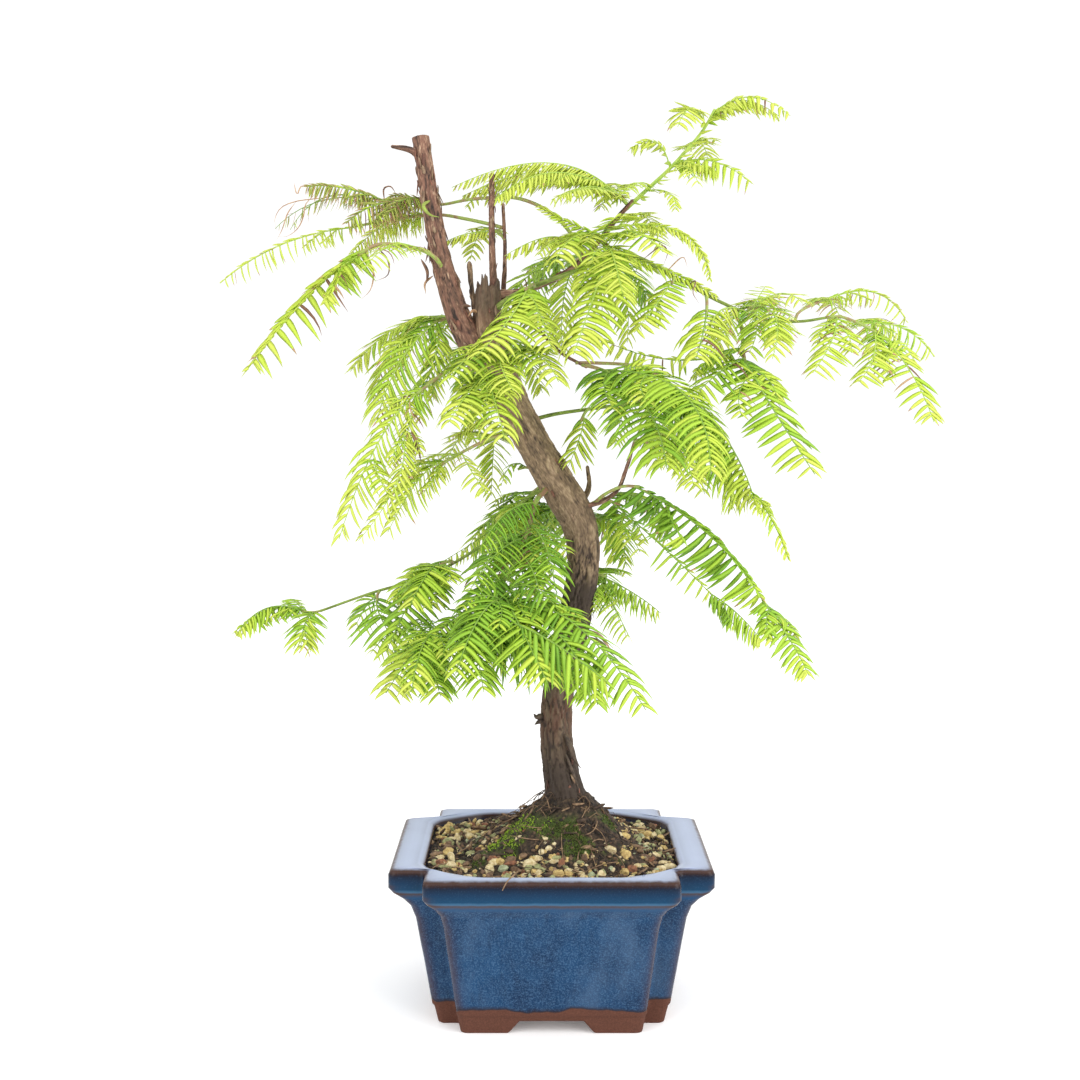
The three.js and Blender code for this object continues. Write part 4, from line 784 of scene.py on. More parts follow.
def way(points: Sequence[Sequence[float]], steps: int) -> tuple[Array, Array]:
    """Places and headings at even lengths along a centripetal Catmull-Rom curve through points.

    Each stretch runs between two points, with knots spaced by the square root of their distance.

    Args:
        points: the points passed.
        steps: number of even lengths.

    Returns:
        Places and unit headings, one more of each than steps.
    """
    p = np.asarray(points, dtype=float)
    p = np.concatenate([[2 * p[0] - p[1]], p, [2 * p[-1] - p[-2]]])
    knots = np.concatenate([[0], np.cumsum(np.sqrt(np.linalg.norm(np.diff(p, axis=0), axis=1)))])
    t = np.concatenate([np.linspace(a, b, 24, endpoint=False) for a, b in zip(knots[1:-2], knots[2:-1])])
    t = np.append(t, knots[-2])
    i = np.clip(np.searchsorted(knots, t, side="right") - 1, 1, len(p) - 3)
    k = [knots[i + n - 1][:, None] for n in range(4)]
    q = [p[i + n - 1] for n in range(4)]
    u = t[:, None]
    a = [((k[n + 1] - u) * q[n] + (u - k[n]) * q[n + 1]) / (k[n + 1] - k[n]) for n in range(3)]
    b = [((k[n + 2] - u) * a[n] + (u - k[n]) * a[n + 1]) / (k[n + 2] - k[n]) for n in range(2)]
    fine = ((k[2] - u) * b[0] + (u - k[1]) * b[1]) / (k[2] - k[1])
    walked = np.concatenate([[0], np.cumsum(np.linalg.norm(np.diff(fine, axis=0), axis=1))])
    even = np.linspace(0, walked[-1], steps + 1)
    at = np.stack([np.interp(even, walked, fine[:, n]) for n in range(3)], axis=-1)
    return at, unit(np.gradient(at, axis=0))


def span(points: Sequence[Sequence[float]]) -> float:
    """Length of the straight stretches between points."""
    return float(np.linalg.norm(np.diff(np.asarray(points, dtype=float), axis=0), axis=1).sum())


def side_ways(along: Array) -> Array:
    """Side ways that turn no more than the curve does.

    The first is square to the start, and each next one is the last, made square to the heading there.

    Args:
        along: unit headings at the stations.

    Returns:
        A unit way across the curve at each station.
    """
    sides = [square(np.cross(along[0], ASIDE), along[0])]
    for heading in along[1:]:
        sides.append(square(sides[-1], heading))
    return np.array(sides)


@dataclass
class Shell:
    """Closed surfaces as arrays.

    Args:
        points: places in millimetres, in the pot's axes.
        corners: point numbers of every face, in a row.
        sizes: number of corners of each face.
        finish: number of each face's finish.
        marks: named numbers or vectors for each point.
    """

    points: Array
    corners: Array
    sizes: Array
    finish: Array
    marks: dict[str, Array] = field(default_factory=dict)

    @staticmethod
    def joined(shells: Sequence["Shell"]) -> "Shell":
        """All the shells as one.

        Args:
            shells: the shells, in order.

        Returns:
            One shell with all their points and faces.
        """
        starts = np.cumsum([0] + [len(s.points) for s in shells[:-1]])
        return Shell(
            np.concatenate([s.points for s in shells]),
            np.concatenate([s.corners + start for s, start in zip(shells, starts)]),
            np.concatenate([s.sizes for s in shells]),
            np.concatenate([s.finish for s in shells]),
            {name: np.concatenate([s.marks[name] for s in shells]) for name in shells[0].marks},
        )


def ringed(rings: Array, finish: Array | int = 0, marks: dict[str, Array] | None = None) -> Shell:
    """Closed skins through rings of points: quads join ring to ring, and one face closes each end.

    Args:
        rings: points of each shape, as (shapes, rings, corners, 3), anticlockwise round the way they go.
        finish: one finish number, one for each shape, or one for each shape and gap between rings.
        marks: values of each point, as (shapes, rings, corners) or with a last axis of 3.

    Returns:
        One shell with all the shapes.
    """
    shapes, count, sides, _ = rings.shape
    k = np.arange(sides)
    quad = np.stack([k, np.roll(k, -1), np.roll(k, -1) + sides, k + sides], axis=-1)
    skin = (np.arange(count - 1)[:, None, None] * sides + quad).reshape(-1)
    one = np.concatenate([skin, k[::-1], k + (count - 1) * sides])
    corners = (np.arange(shapes)[:, None] * count * sides + one).reshape(-1)
    sizes = np.tile(np.concatenate([np.full((count - 1) * sides, 4), [sides, sides]]), shapes)
    tints = np.broadcast_to(np.reshape(np.asarray(finish), (-1, 1) if np.ndim(finish) < 2 else (shapes, -1)),
                            (shapes, count - 1))
    skin_tints = np.repeat(tints, sides, axis=1)
    faces = np.concatenate([skin_tints, tints[:, :1], tints[:, -1:]], axis=1).reshape(-1)
    flat = {name: v.reshape((-1, 3) if v.ndim == 4 else -1) for name, v in (marks or {}).items()}
    return Shell(rings.reshape(-1, 3), corners, sizes, faces, flat)


def tubes(middles: Array, sides: Array, radii: Array, corners: int, finish: Array | int = 0) -> Shell:
    """Round shoots: a circle of each station's radius, square to its heading.

    Args:
        middles: stations as (shoots, stations, 3).
        sides: a way across the shoot at each station.
        radii: radius at each station.
        corners: number of corners of a ring.
        finish: finish number, or one for each shoot.

    Returns:
        One shell with all the shoots.
    """
    along = unit(np.gradient(middles, axis=1))
    side = square(sides, along)
    angle = np.linspace(0, 2 * math.pi, corners, endpoint=False)[:, None]
    ring = outward(along[:, :, None], side[:, :, None], angle)
    return ringed(middles[:, :, None] + ring * radii[:, :, None, None], finish)


# Share of the length and of the half width at the stations of a blade.
NEEDLE = ((0, 0.42), (0.1, 0.85), (0.32, 1), (0.58, 0.92), (0.8, 0.6), (1, 0.06))
TOOTH = ((0, 0.6), (0.08, 0.95), (0.24, 1), (0.5, 0.72), (0.76, 0.4), (1, 0.03))
FLAKE = ((0, 0.7), (0.35, 1), (0.75, 0.8), (1, 0.25))
SPIKE = ((0, 1), (0.45, 0.9), (1, 0.12))


@dataclass
class Blades:
    """Thin bent blades, one for each row.

    Args:
        roots: where they start.
        ways: ways that they set out, as shares of the length.
        across: ways along their width.
        lengths: lengths.
        widths: full widths.
        bends: how far the tip is carried off the straight way, as shares of the length.
        finish: finish number of each.
        tips: finish number of each one's last stretch.
        thick: thickness.
        curl: how far the edges rise over the middle, as a share of the half width.
        profile: share of the length and of the half width at each station.
    """

    roots: Array
    ways: Array
    across: Array
    lengths: Array
    widths: Array
    bends: Array
    finish: Array
    tips: Array | None = None
    thick: float = 0.2
    curl: float = 0.22
    profile: tuple[Pair, ...] = NEEDLE

    def shell(self) -> Shell:
        """All the blades, with four corners round each station.

        Middle line: the root, plus share times way, plus share squared times bend, all by the length.

        Returns:
            One shell with all the blades.
        """
        share = np.array([u for u, _ in self.profile])[None, :, None]
        width = np.array([w for _, w in self.profile])[None, :, None]
        reach = self.lengths[:, None, None]
        middle = self.roots[:, None] + reach * (self.ways[:, None] * share + self.bends[:, None] * share**2)
        heading = unit(self.ways[:, None] + 2 * self.bends[:, None] * share)
        across = square(self.across[:, None], heading)
        over = np.cross(heading, across)
        half = width * self.widths[:, None, None] / 2
        rise = self.curl * half
        thick = self.thick / 2 * (0.4 + 0.6 * width)
        rings = np.stack([
            middle + across * half + over * rise,
            middle + over * thick,
            middle - across * half + over * rise,
            middle - over * thick,
        ], axis=2)
        finish = np.repeat(self.finish[:, None], len(self.profile) - 1, axis=1)
        if self.tips is not None:
            finish[:, -1] = self.tips
        return ringed(rings, finish)


def ball(fine: bool) -> tuple[Array, Array]:
    """Points and triangles of a unit ball.

    An icosahedron of 20 triangles or, where fine, 80: each edge is halved and the new point pushed out to 1.

    Args:
        fine: whether it has 80 triangles.

    Returns:
        The points, and three of their numbers for each triangle.
    """
    g = (1 + math.sqrt(5)) / 2
    points = [unit(np.array(p, dtype=float)) for p in (
        (-1, g, 0), (1, g, 0), (-1, -g, 0), (1, -g, 0), (0, -1, g), (0, 1, g),
        (0, -1, -g), (0, 1, -g), (g, 0, -1), (g, 0, 1), (-g, 0, -1), (-g, 0, 1),
    )]
    faces = (
        (0, 11, 5), (0, 5, 1), (0, 1, 7), (0, 7, 10), (0, 10, 11), (1, 5, 9), (5, 11, 4), (11, 10, 2),
        (10, 7, 6), (7, 1, 8), (3, 9, 4), (3, 4, 2), (3, 2, 6), (3, 6, 8), (3, 8, 9), (4, 9, 5),
        (2, 4, 11), (6, 2, 10), (8, 6, 7), (9, 8, 1),
    )
    if not fine:
        return np.array(points), np.array(faces)
    halves: dict[tuple[int, int], int] = {}

    def half(a: int, b: int) -> int:
        """Number of the point half way along an edge, made once for both of its faces.

        Args:
            a: number of the edge's one end.
            b: number of its other end.

        Returns:
            The new point's number.
        """
        key = (min(a, b), max(a, b))
        if key not in halves:
            halves[key] = len(points)
            points.append(unit(points[a] + points[b]))
        return halves[key]

    finer = []
    for a, b, c in faces:
        ab, bc, ca = half(a, b), half(b, c), half(c, a)
        finer += [(a, ab, ca), (b, bc, ab), (c, ca, bc), (ab, bc, ca)]
    return np.array(points), np.array(finer)


def stones(
    centres: Array, sizes: Array, rng: np.random.Generator, finish: Array,
    rough: float = 0.22, fine: bool = True,
) -> Shell:
    """Irregular stones: a ball dented by noise, stretched by three sizes and turned at random.

    Args:
        centres: middles, as (stones, 3).
        sizes: half sizes along each stone's own three ways.
        rng: source of the turns.
        finish: finish number of each stone.
        rough: depth of the dents, as a share of the radius.
        fine: whether each has 80 triangles in place of 20.

    Returns:
        One shell with all the stones.
    """
    points, faces = ball(fine)
    count = len(centres)
    shifts = rng.uniform(0, 50, (count, 1, 3))
    dents = grain(points[None] * 1.5 + shifts, 3)
    pits = grain(points[None] * 3.2 + shifts, 5)
    radius = 1 + rough * dents + 0.4 * rough * pits
    first = unit(rng.normal(size=(count, 3)) * np.array([1, 1, 0.35]))
    third = unit(np.cross(first, rng.normal(size=(count, 3))))
    turn = np.stack([first, np.cross(third, first), third], axis=-1)
    local = points[None] * radius[..., None] * sizes[:, None]
    placed = centres[:, None] + np.einsum("nij,npj->npi", turn, local)
    corners = (np.arange(count)[:, None] * len(points) + faces.reshape(-1)).reshape(-1)
    triangles = np.full(count * len(faces), 3)
    return Shell(placed.reshape(-1, 3), corners, triangles, np.repeat(finish, len(faces)))


def pot_origin() -> Array:
    """Middle of the pot's underside in the frame, in metres; the tables' own origin."""
    low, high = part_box("pot")
    return np.array([(low[0] + high[0]) / 2, (low[1] + high[1]) / 2, low[2]])


ORIGIN = pot_origin()


def make_piece(
    name: str, shell: Shell, finishes: Sequence[bpy.types.Material],
    nodes: Sequence[str] = (), smooth: bool = True,
) -> None:
    """Puts a shell into a mesh object, at the origin, that rides on the root body.

    Args:
        name: name of the piece.
        shell: its surfaces.
        finishes: materials, in the order of the shell's finish numbers.
        nodes: frame nodes that it stands for.
        smooth: whether faces are shaded as one curved surface.
    """
    mesh = bpy.data.meshes.new(name)
    mesh.vertices.add(len(shell.points))
    mesh.vertices.foreach_set("co", (shell.points * MM + ORIGIN).astype(np.float32).reshape(-1))
    mesh.loops.add(len(shell.corners))
    mesh.loops.foreach_set("vertex_index", shell.corners.astype(np.int32))
    mesh.polygons.add(len(shell.sizes))
    starts = np.concatenate([[0], np.cumsum(shell.sizes)[:-1]])
    mesh.polygons.foreach_set("loop_start", starts.astype(np.int32))
    mesh.polygons.foreach_set("material_index", shell.finish.astype(np.int32))
    mesh.polygons.foreach_set("use_smooth", np.full(len(shell.sizes), smooth))
    for mark, values in shell.marks.items():
        kind, key = ("FLOAT_VECTOR", "vector") if values.ndim == 2 else ("FLOAT", "value")
        mesh.attributes.new(mark, kind, "POINT").data.foreach_set(key, values.astype(np.float32).reshape(-1))
    mesh.update(calc_edges=True)
    mesh.validate()
    for finish in finishes:
        mesh.materials.append(finish)
    piece = bpy.data.objects.new(name, mesh)
    bpy.context.scene.collection.objects.link(piece)
    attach(piece, ROOT)
    if nodes:
        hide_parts(*nodes)
    LOG.info("%s: %d faces", name, len(shell.sizes))


class Wire:
    """One output of a node. Arithmetic on wires adds Math nodes to the same material."""

    def __init__(self, shader: "Shader", socket: bpy.types.NodeSocket) -> None:
        """Keeps the socket and the material that it belongs to."""
        self.shader = shader
        self.socket = socket

    def math(self, operation: str, *values: "Wire | float") -> "Wire":
        """A Math node of this operation on the values."""
        return self.shader.add("ShaderNodeMath", {"operation": operation}, dict(enumerate(values)))

    def __add__(self, other: "Wire | float") -> "Wire":
        """Sum."""
        return self.math("ADD", self, other)

    __radd__ = __add__

    def __sub__(self, other: "Wire | float") -> "Wire":
        """Difference."""
        return self.math("SUBTRACT", self, other)

    def __rsub__(self, other: float) -> "Wire":
        """Difference from a number."""
        return self.math("SUBTRACT", other, self)

    def __mul__(self, other: "Wire | float") -> "Wire":
        """Product."""
        return self.math("MULTIPLY", self, other)

    __rmul__ = __mul__

    def between(self, low: float, high: float) -> "Wire":
        """0 at low and under, 1 at high and over, and eased between."""
        values = {"Value": self, "From Min": low, "From Max": high}
        return self.shader.add("ShaderNodeMapRange", {"interpolation_type": "SMOOTHSTEP"}, values)


class Shader:
    """The nodes of one material, ending in one Principled surface."""

    def __init__(self, name: str) -> None:
        """Makes an empty node material of this name.

        Args:
            name: the material's name.
        """
        self.material = bpy.data.materials.new(name)
        self.material.use_nodes = True
        self.tree = self.material.node_tree
        self.tree.nodes.clear()

    def add(
        self, kind: str, settings: dict | None = None, values: dict | None = None, output: int | str = 0
    ) -> Wire:
        """Adds one node.

        Args:
            kind: the node's type.
            settings: its own properties, set first; stops are a ramp's places and colours.
            values: numbers, colours or wires for its sockets, by name or number.
            output: which output the wire takes.

        Returns:
            The wire from that output.
        """
        node = self.tree.nodes.new(kind)
        for key, value in (settings or {}).items():
            if key == "stops":
                while len(node.color_ramp.elements) < len(value):
                    node.color_ramp.elements.new(1.0)
                for element, (place, colour) in zip(node.color_ramp.elements, value):
                    element.position = place
                    element.color = (*colour, 1)
            else:
                setattr(node, key, value)
        for key, value in (values or {}).items():
            socket = node.inputs[key]
            if isinstance(value, Wire):
                self.tree.links.new(value.socket, socket)
            elif isinstance(value, tuple) and len(value) == 3 and socket.type == "RGBA":
                socket.default_value = (*value, 1)
            else:
                socket.default_value = value
        return Wire(self, node.outputs[output])

    def place(self) -> Wire:
        """Object coordinates."""
        return self.add("ShaderNodeTexCoord", output="Object")

    def mark(self, name: str, vector: bool = False) -> Wire:
        """A value, or a vector, that the mesh holds for each point."""
        output = "Vector" if vector else "Fac"
        return self.add("ShaderNodeAttribute", {"attribute_name": name}, output=output)

    def stretched(self, vector: Wire, scale: Triple) -> Wire:
        """A vector with each part scaled."""
        return self.add("ShaderNodeMapping", None, {"Vector": vector, "Scale": scale})

    def height(self, vector: Wire) -> Wire:
        """The vertical part of a vector."""
        return self.add("ShaderNodeSeparateXYZ", None, {0: vector}, output="Z")

    def noise(self, vector: Wire, scale: float, detail: float = 3, rough: float = 0.55) -> Wire:
        """Noise in 0 to 1, with this many features to the unit."""
        values = {"Vector": vector, "Scale": scale, "Detail": detail, "Roughness": rough}
        return self.add("ShaderNodeTexNoise", None, values)

    def ramp(self, value: Wire, *stops: tuple[float, Colour]) -> Wire:
        """Colours along a value."""
        return self.add("ShaderNodeValToRGB", {"stops": stops}, {0: value})

    def mix(self, share: Wire | float, a: Wire | Colour, b: Wire | Colour) -> Wire:
        """Colour a at share 0 and b at share 1."""
        return self.add("ShaderNodeMix", {"data_type": "RGBA"}, {0: share, 6: a, 7: b}, output=2)

    def bump(self, height: Wire, distance: float, strength: float = 1.0) -> Wire:
        """Normals of a relief, with its height in metres."""
        values = {"Height": height, "Distance": distance, "Strength": strength}
        return self.add("ShaderNodeBump", None, values)

    def surface(self, **values: Wire | Colour | float) -> bpy.types.Material:
        """Ends the material in a Principled surface with these sockets, spaces written as underscores.

        Args:
            values: what feeds each socket.

        Returns:
            The finished material.
        """
        sockets = {name.replace("_", " "): value for name, value in values.items()}
        shader = self.add("ShaderNodeBsdfPrincipled", None, sockets)
        out = self.tree.nodes.new("ShaderNodeOutputMaterial")
        self.tree.links.new(shader.socket, out.inputs["Surface"])
        return self.material


@dataclass(frozen=True)
class LeafFinish:
    """Plain leaf colour of one tint."""

    name: str
    colour: Colour
    roughness: float = 0.46
    gloss: float = 0.3

    def make(self) -> bpy.types.Material:
        """Smooth, faintly waxy surface of one base colour."""
        return Shader(self.name).surface(
            Base_Color=self.colour, Roughness=self.roughness, Specular_IOR_Level=self.gloss)


# One for each Tint, in its order.
LEAF_TINTS = (
    LeafFinish("leaf_lime", (0.55, 0.645, 0.09)),
    LeafFinish("leaf_spring", (0.47, 0.61, 0.06)),
    LeafFinish("leaf_green", (0.35, 0.54, 0.042)),
    LeafFinish("leaf_deep", (0.25, 0.455, 0.034)),
    LeafFinish("leaf_olive", (0.33, 0.37, 0.075)),
    LeafFinish("leaf_shade", (0.16, 0.34, 0.027)),
    LeafFinish("leaf_dried", (0.47, 0.3, 0.15), 0.75),
    LeafFinish("leaf_rust", (0.24, 0.12, 0.075), 0.75),
)


@dataclass(frozen=True)
class StemFinish:
    """Thin young shoots: one colour that turns to another in patches."""

    name: str
    colour: Colour
    patch: Colour
    roughness: float = 0.6

    def make(self) -> bpy.types.Material:
        """Two colours dealt by noise of about 4 mm.

        Returns:
            The finished material.
        """
        shader = Shader(self.name)
        share = shader.noise(shader.place(), 260).between(0.4, 0.62)
        colour = shader.mix(share, self.colour, self.patch)
        return shader.surface(Base_Color=colour, Roughness=self.roughness)


STEM_FINISHES = (
    StemFinish("shoot_green", (0.17, 0.31, 0.04), (0.24, 0.38, 0.05)),
    StemFinish("shoot_lime", (0.3, 0.46, 0.06), (0.4, 0.54, 0.09)),
    StemFinish("shoot_woody", (0.29, 0.38, 0.08), (0.3, 0.2, 0.1)),
)


@dataclass(frozen=True)
class BarkFinish:
    """Bark with fissures and flakes.

    Args:
        name: name of the material.
        crevice: colour deep in the fissures: darker bark, together with painted shade.
        face: colour of the plates.
        crest: colour of the raised edges, a painted highlight.
        blush: colour of the patches that the blush mark shows.
        cut: colour of bare wood, where the wood mark shows it.
    """

    name: str
    crevice: Colour
    face: Colour
    crest: Colour
    blush: Colour
    cut: Colour = (0.33, 0.25, 0.17)

    def make(self) -> bpy.types.Material:
        """Colour by the relief mark, with painted shade in the cracks and a painted highlight on the crests,
        broken by streaks along the limb; fine streaks also as bump.

        Returns:
            The finished material.
        """
        shader = Shader(self.name)
        lie = shader.mark("lie", vector=True)
        streak = shader.noise(lie, 1.9, 5, 0.62)
        spot = shader.noise(lie, 0.45, 3)
        level = shader.mark("relief") + (streak - 0.5) * 0.95 + (spot - 0.5) * 0.35
        dull = tuple(blend(a, b, 0.55) for a, b in zip(self.crevice, self.face))
        # Painted light from the relief: dark in the fissures, partly darker bark and partly painted shade,
        # and pale on the crests as a painted highlight.
        body = shader.ramp(level, (0.1, self.crevice), (0.34, dull), (0.52, self.face), (0.9, self.crest))
        body = shader.mix(shader.mark("blush") * spot.between(0.38, 0.62), body, self.blush)
        wood = shader.mix(streak, tuple(0.45 * c for c in self.cut), self.cut)
        body = shader.mix(shader.mark("wood"), body, wood)
        # Darker bark where the darkening mark is high, from the trunk's listed heights.
        body = shader.mix(shader.mark("damp") * (0.85 + 0.3 * streak), body, self.crevice)
        bump = shader.bump(streak, 0.0004, 0.6)
        return shader.surface(Base_Color=body, Roughness=0.85, Normal=bump)


BARK_FINISHES = {
    Bark.BARK: BarkFinish(
        "bark_old", (0.045, 0.03, 0.021), (0.235, 0.158, 0.092), (0.47, 0.345, 0.215), (0.2, 0.085, 0.05)),
    Bark.RED_BARK: BarkFinish(
        "bark_red", (0.03, 0.018, 0.014), (0.175, 0.092, 0.058), (0.62, 0.44, 0.29), (0.25, 0.12, 0.08)),
    Bark.GREEN_STEM: BarkFinish(
        "bark_green", (0.12, 0.17, 0.03), (0.22, 0.33, 0.05), (0.34, 0.44, 0.12), (0.26, 0.15, 0.08)),
}


@dataclass(frozen=True)
class GlazeFinish:
    """Blue glaze: dark on the rim's bar, partly a painted dark reflection, with a painted highlight and sheen
    on top, brown where edges wear through, and bare clay near the foot.

    Args:
        name: name of the material.
        deep: colour of the darker clouds.
        body: colour of the wall.
        drift: colour of the paler drifts.
        fleck: colour of the fine flecks.
        brown: colour where the glaze is thin over an edge.
        pale_glaze_and_sheen: colour of the rim's upper side: paler glaze, and a painted sheen of light from
            above.
        clay: colour of the bare foot.
        bar: heights in millimetres and colours up the rim's bar: glaze, with a painted dark reflection band
            near the top and a painted highlight at the top edge.
        foot_line: height of the glaze's lower end, in millimetres.
        end: colour of the glaze's lower end.
    """

    name: str = "glaze_blue"
    deep: Colour = (0.003, 0.018, 0.055)
    body: Colour = (0.007, 0.044, 0.115)
    drift: Colour = (0.045, 0.085, 0.155)
    fleck: Colour = (0.06, 0.135, 0.25)
    brown: Colour = (0.06, 0.03, 0.024)
    pale_glaze_and_sheen: Colour = (0.4, 0.46, 0.63)
    clay: Colour = (0.13, 0.052, 0.034)
    bar: tuple[tuple[float, Colour], ...] = (
        (63, (0.012, 0.06, 0.145)), (65, (0.06, 0.05, 0.06)), (65.9, (0.04, 0.12, 0.22)),
        (67.2, (0.003, 0.04, 0.095)), (70.5, (0.002, 0.024, 0.064)), (73.2, (0.002, 0.01, 0.028)),
        (74.6, (0.022, 0.011, 0.01)), (75.8, (0.07, 0.04, 0.035)), (POT_HEIGHT, (0.3, 0.34, 0.45)),
    )
    foot_line: float = 11.5
    end: Colour = (0.02, 0.012, 0.014)

    def make(self) -> bpy.types.Material:
        """Clouds and flecks by noise; the bar by height, with its painted reflection and highlight; edge
        marks bring brown, and the top mark paler glaze with a painted sheen.

        Returns:
            The finished material.
        """
        shader = Shader(self.name)
        place = shader.place()
        cloud = shader.noise(place, 60, 3)
        speck = shader.noise(place, 1500, 3, 0.75)
        run = shader.noise(shader.stretched(place, (1, 1, 0.2)), 260, 3)
        body = shader.mix(cloud.between(0.2, 0.75), self.deep, self.body)
        body = shader.mix(run.between(0.48, 0.74) * 0.65, body, self.deep)
        drift = shader.noise(shader.stretched(place, (1, 1, 0.5)), 34, 4, 0.6)
        body = shader.mix(drift.between(0.48, 0.68) * 0.65, body, self.drift)
        body = shader.mix(speck.between(0.46, 0.62) * 0.6, body, self.fleck)
        # The bar's ramp holds painted light: the near-black band under the top is a painted dark reflection,
        # and the top stop is a painted highlight.
        low, high = self.bar[0][0], self.bar[-1][0]
        height = shader.height(place) * (1 / MM)
        level = (height + run * 0.9 - 0.45 - low) * (1 / (high - low))
        stops = [((z - low) / (high - low), colour) for z, colour in self.bar]
        bar = shader.mix(speck.between(0.5, 0.8) * 0.25, shader.ramp(level, *stops), self.fleck)
        body = shader.mix(height.between(low - 2, low), body, bar)
        # Painted sheen: the rim's upper side is lightened, partly as paler glaze and partly as painted light
        # from above.
        body = shader.mix(shader.mark("top") * (0.75 + 0.35 * cloud), body, self.pale_glaze_and_sheen)
        edge = shader.mark("edge")
        worn = edge * edge * shader.noise(place, 300, 3).between(0.15, 0.4)
        body = shader.mix(worn, body, self.brown)
        ragged = height - shader.noise(place, 60, 2) * 7 + 3.5
        glazed = ragged.between(self.foot_line - 0.35, self.foot_line + 0.35)
        rim = ragged.between(self.foot_line - 0.5, self.foot_line + 2.5)
        clay = shader.mix(speck.between(0.35, 0.7), tuple(0.65 * c for c in self.clay), self.clay)
        colour = shader.mix(glazed, clay, shader.mix(rim, self.end, body))
        rough = 0.8 - glazed * (0.7 - 0.12 * speck)
        bump = shader.bump(glazed * 0.5 + speck * 0.03 + cloud * 0.2, 0.0006, 0.5)
        return shader.surface(Base_Color=colour, Roughness=rough, Specular_IOR_Level=0.15, Normal=bump)


@dataclass(frozen=True)
class StoneFinish:
    """A grain of the soil mix: one colour with darker and lighter mottles."""

    name: str
    colour: Colour
    mottle: Colour
    roughness: float = 0.85
    scale: float = 700

    def make(self) -> bpy.types.Material:
        """Two colours dealt by fine noise, which is also its bump.

        Returns:
            The finished material.
        """
        shader = Shader(self.name)
        noise = shader.noise(shader.place(), self.scale, 3)
        colour = shader.mix(noise.between(0.35, 0.65), self.mottle, self.colour)
        bump = shader.bump(noise, 0.0003, 0.7)
        return shader.surface(Base_Color=colour, Roughness=self.roughness, Normal=bump)


def arc(middle: Pair, radius: float, start: float, end: float, steps: int) -> Array:
    """Points round a circle from one angle, in degrees, to another."""
    a = np.radians(np.linspace(start, end, steps))
    return np.stack([middle[0] + radius * np.cos(a), middle[1] + radius * np.sin(a)], axis=-1)


def line(a: Pair, b: Pair, steps: int) -> Array:
    """Evenly spaced points from a, and up to but not at b."""
    return np.linspace(a, b, steps, endpoint=False)


def around_four(quarter: Array) -> Array:
    """Outline of four mirrored quarters, anticlockwise, from the points of the first.

    Args:
        quarter: points from the x axis round to the y axis.

    Returns:
        The whole outline, with no point twice.
    """
    back = quarter[::-1]
    flips = (quarter, back * (-1, 1), quarter * (-1, -1), back * (1, -1))
    return np.concatenate([q[:-1] for q in flips])


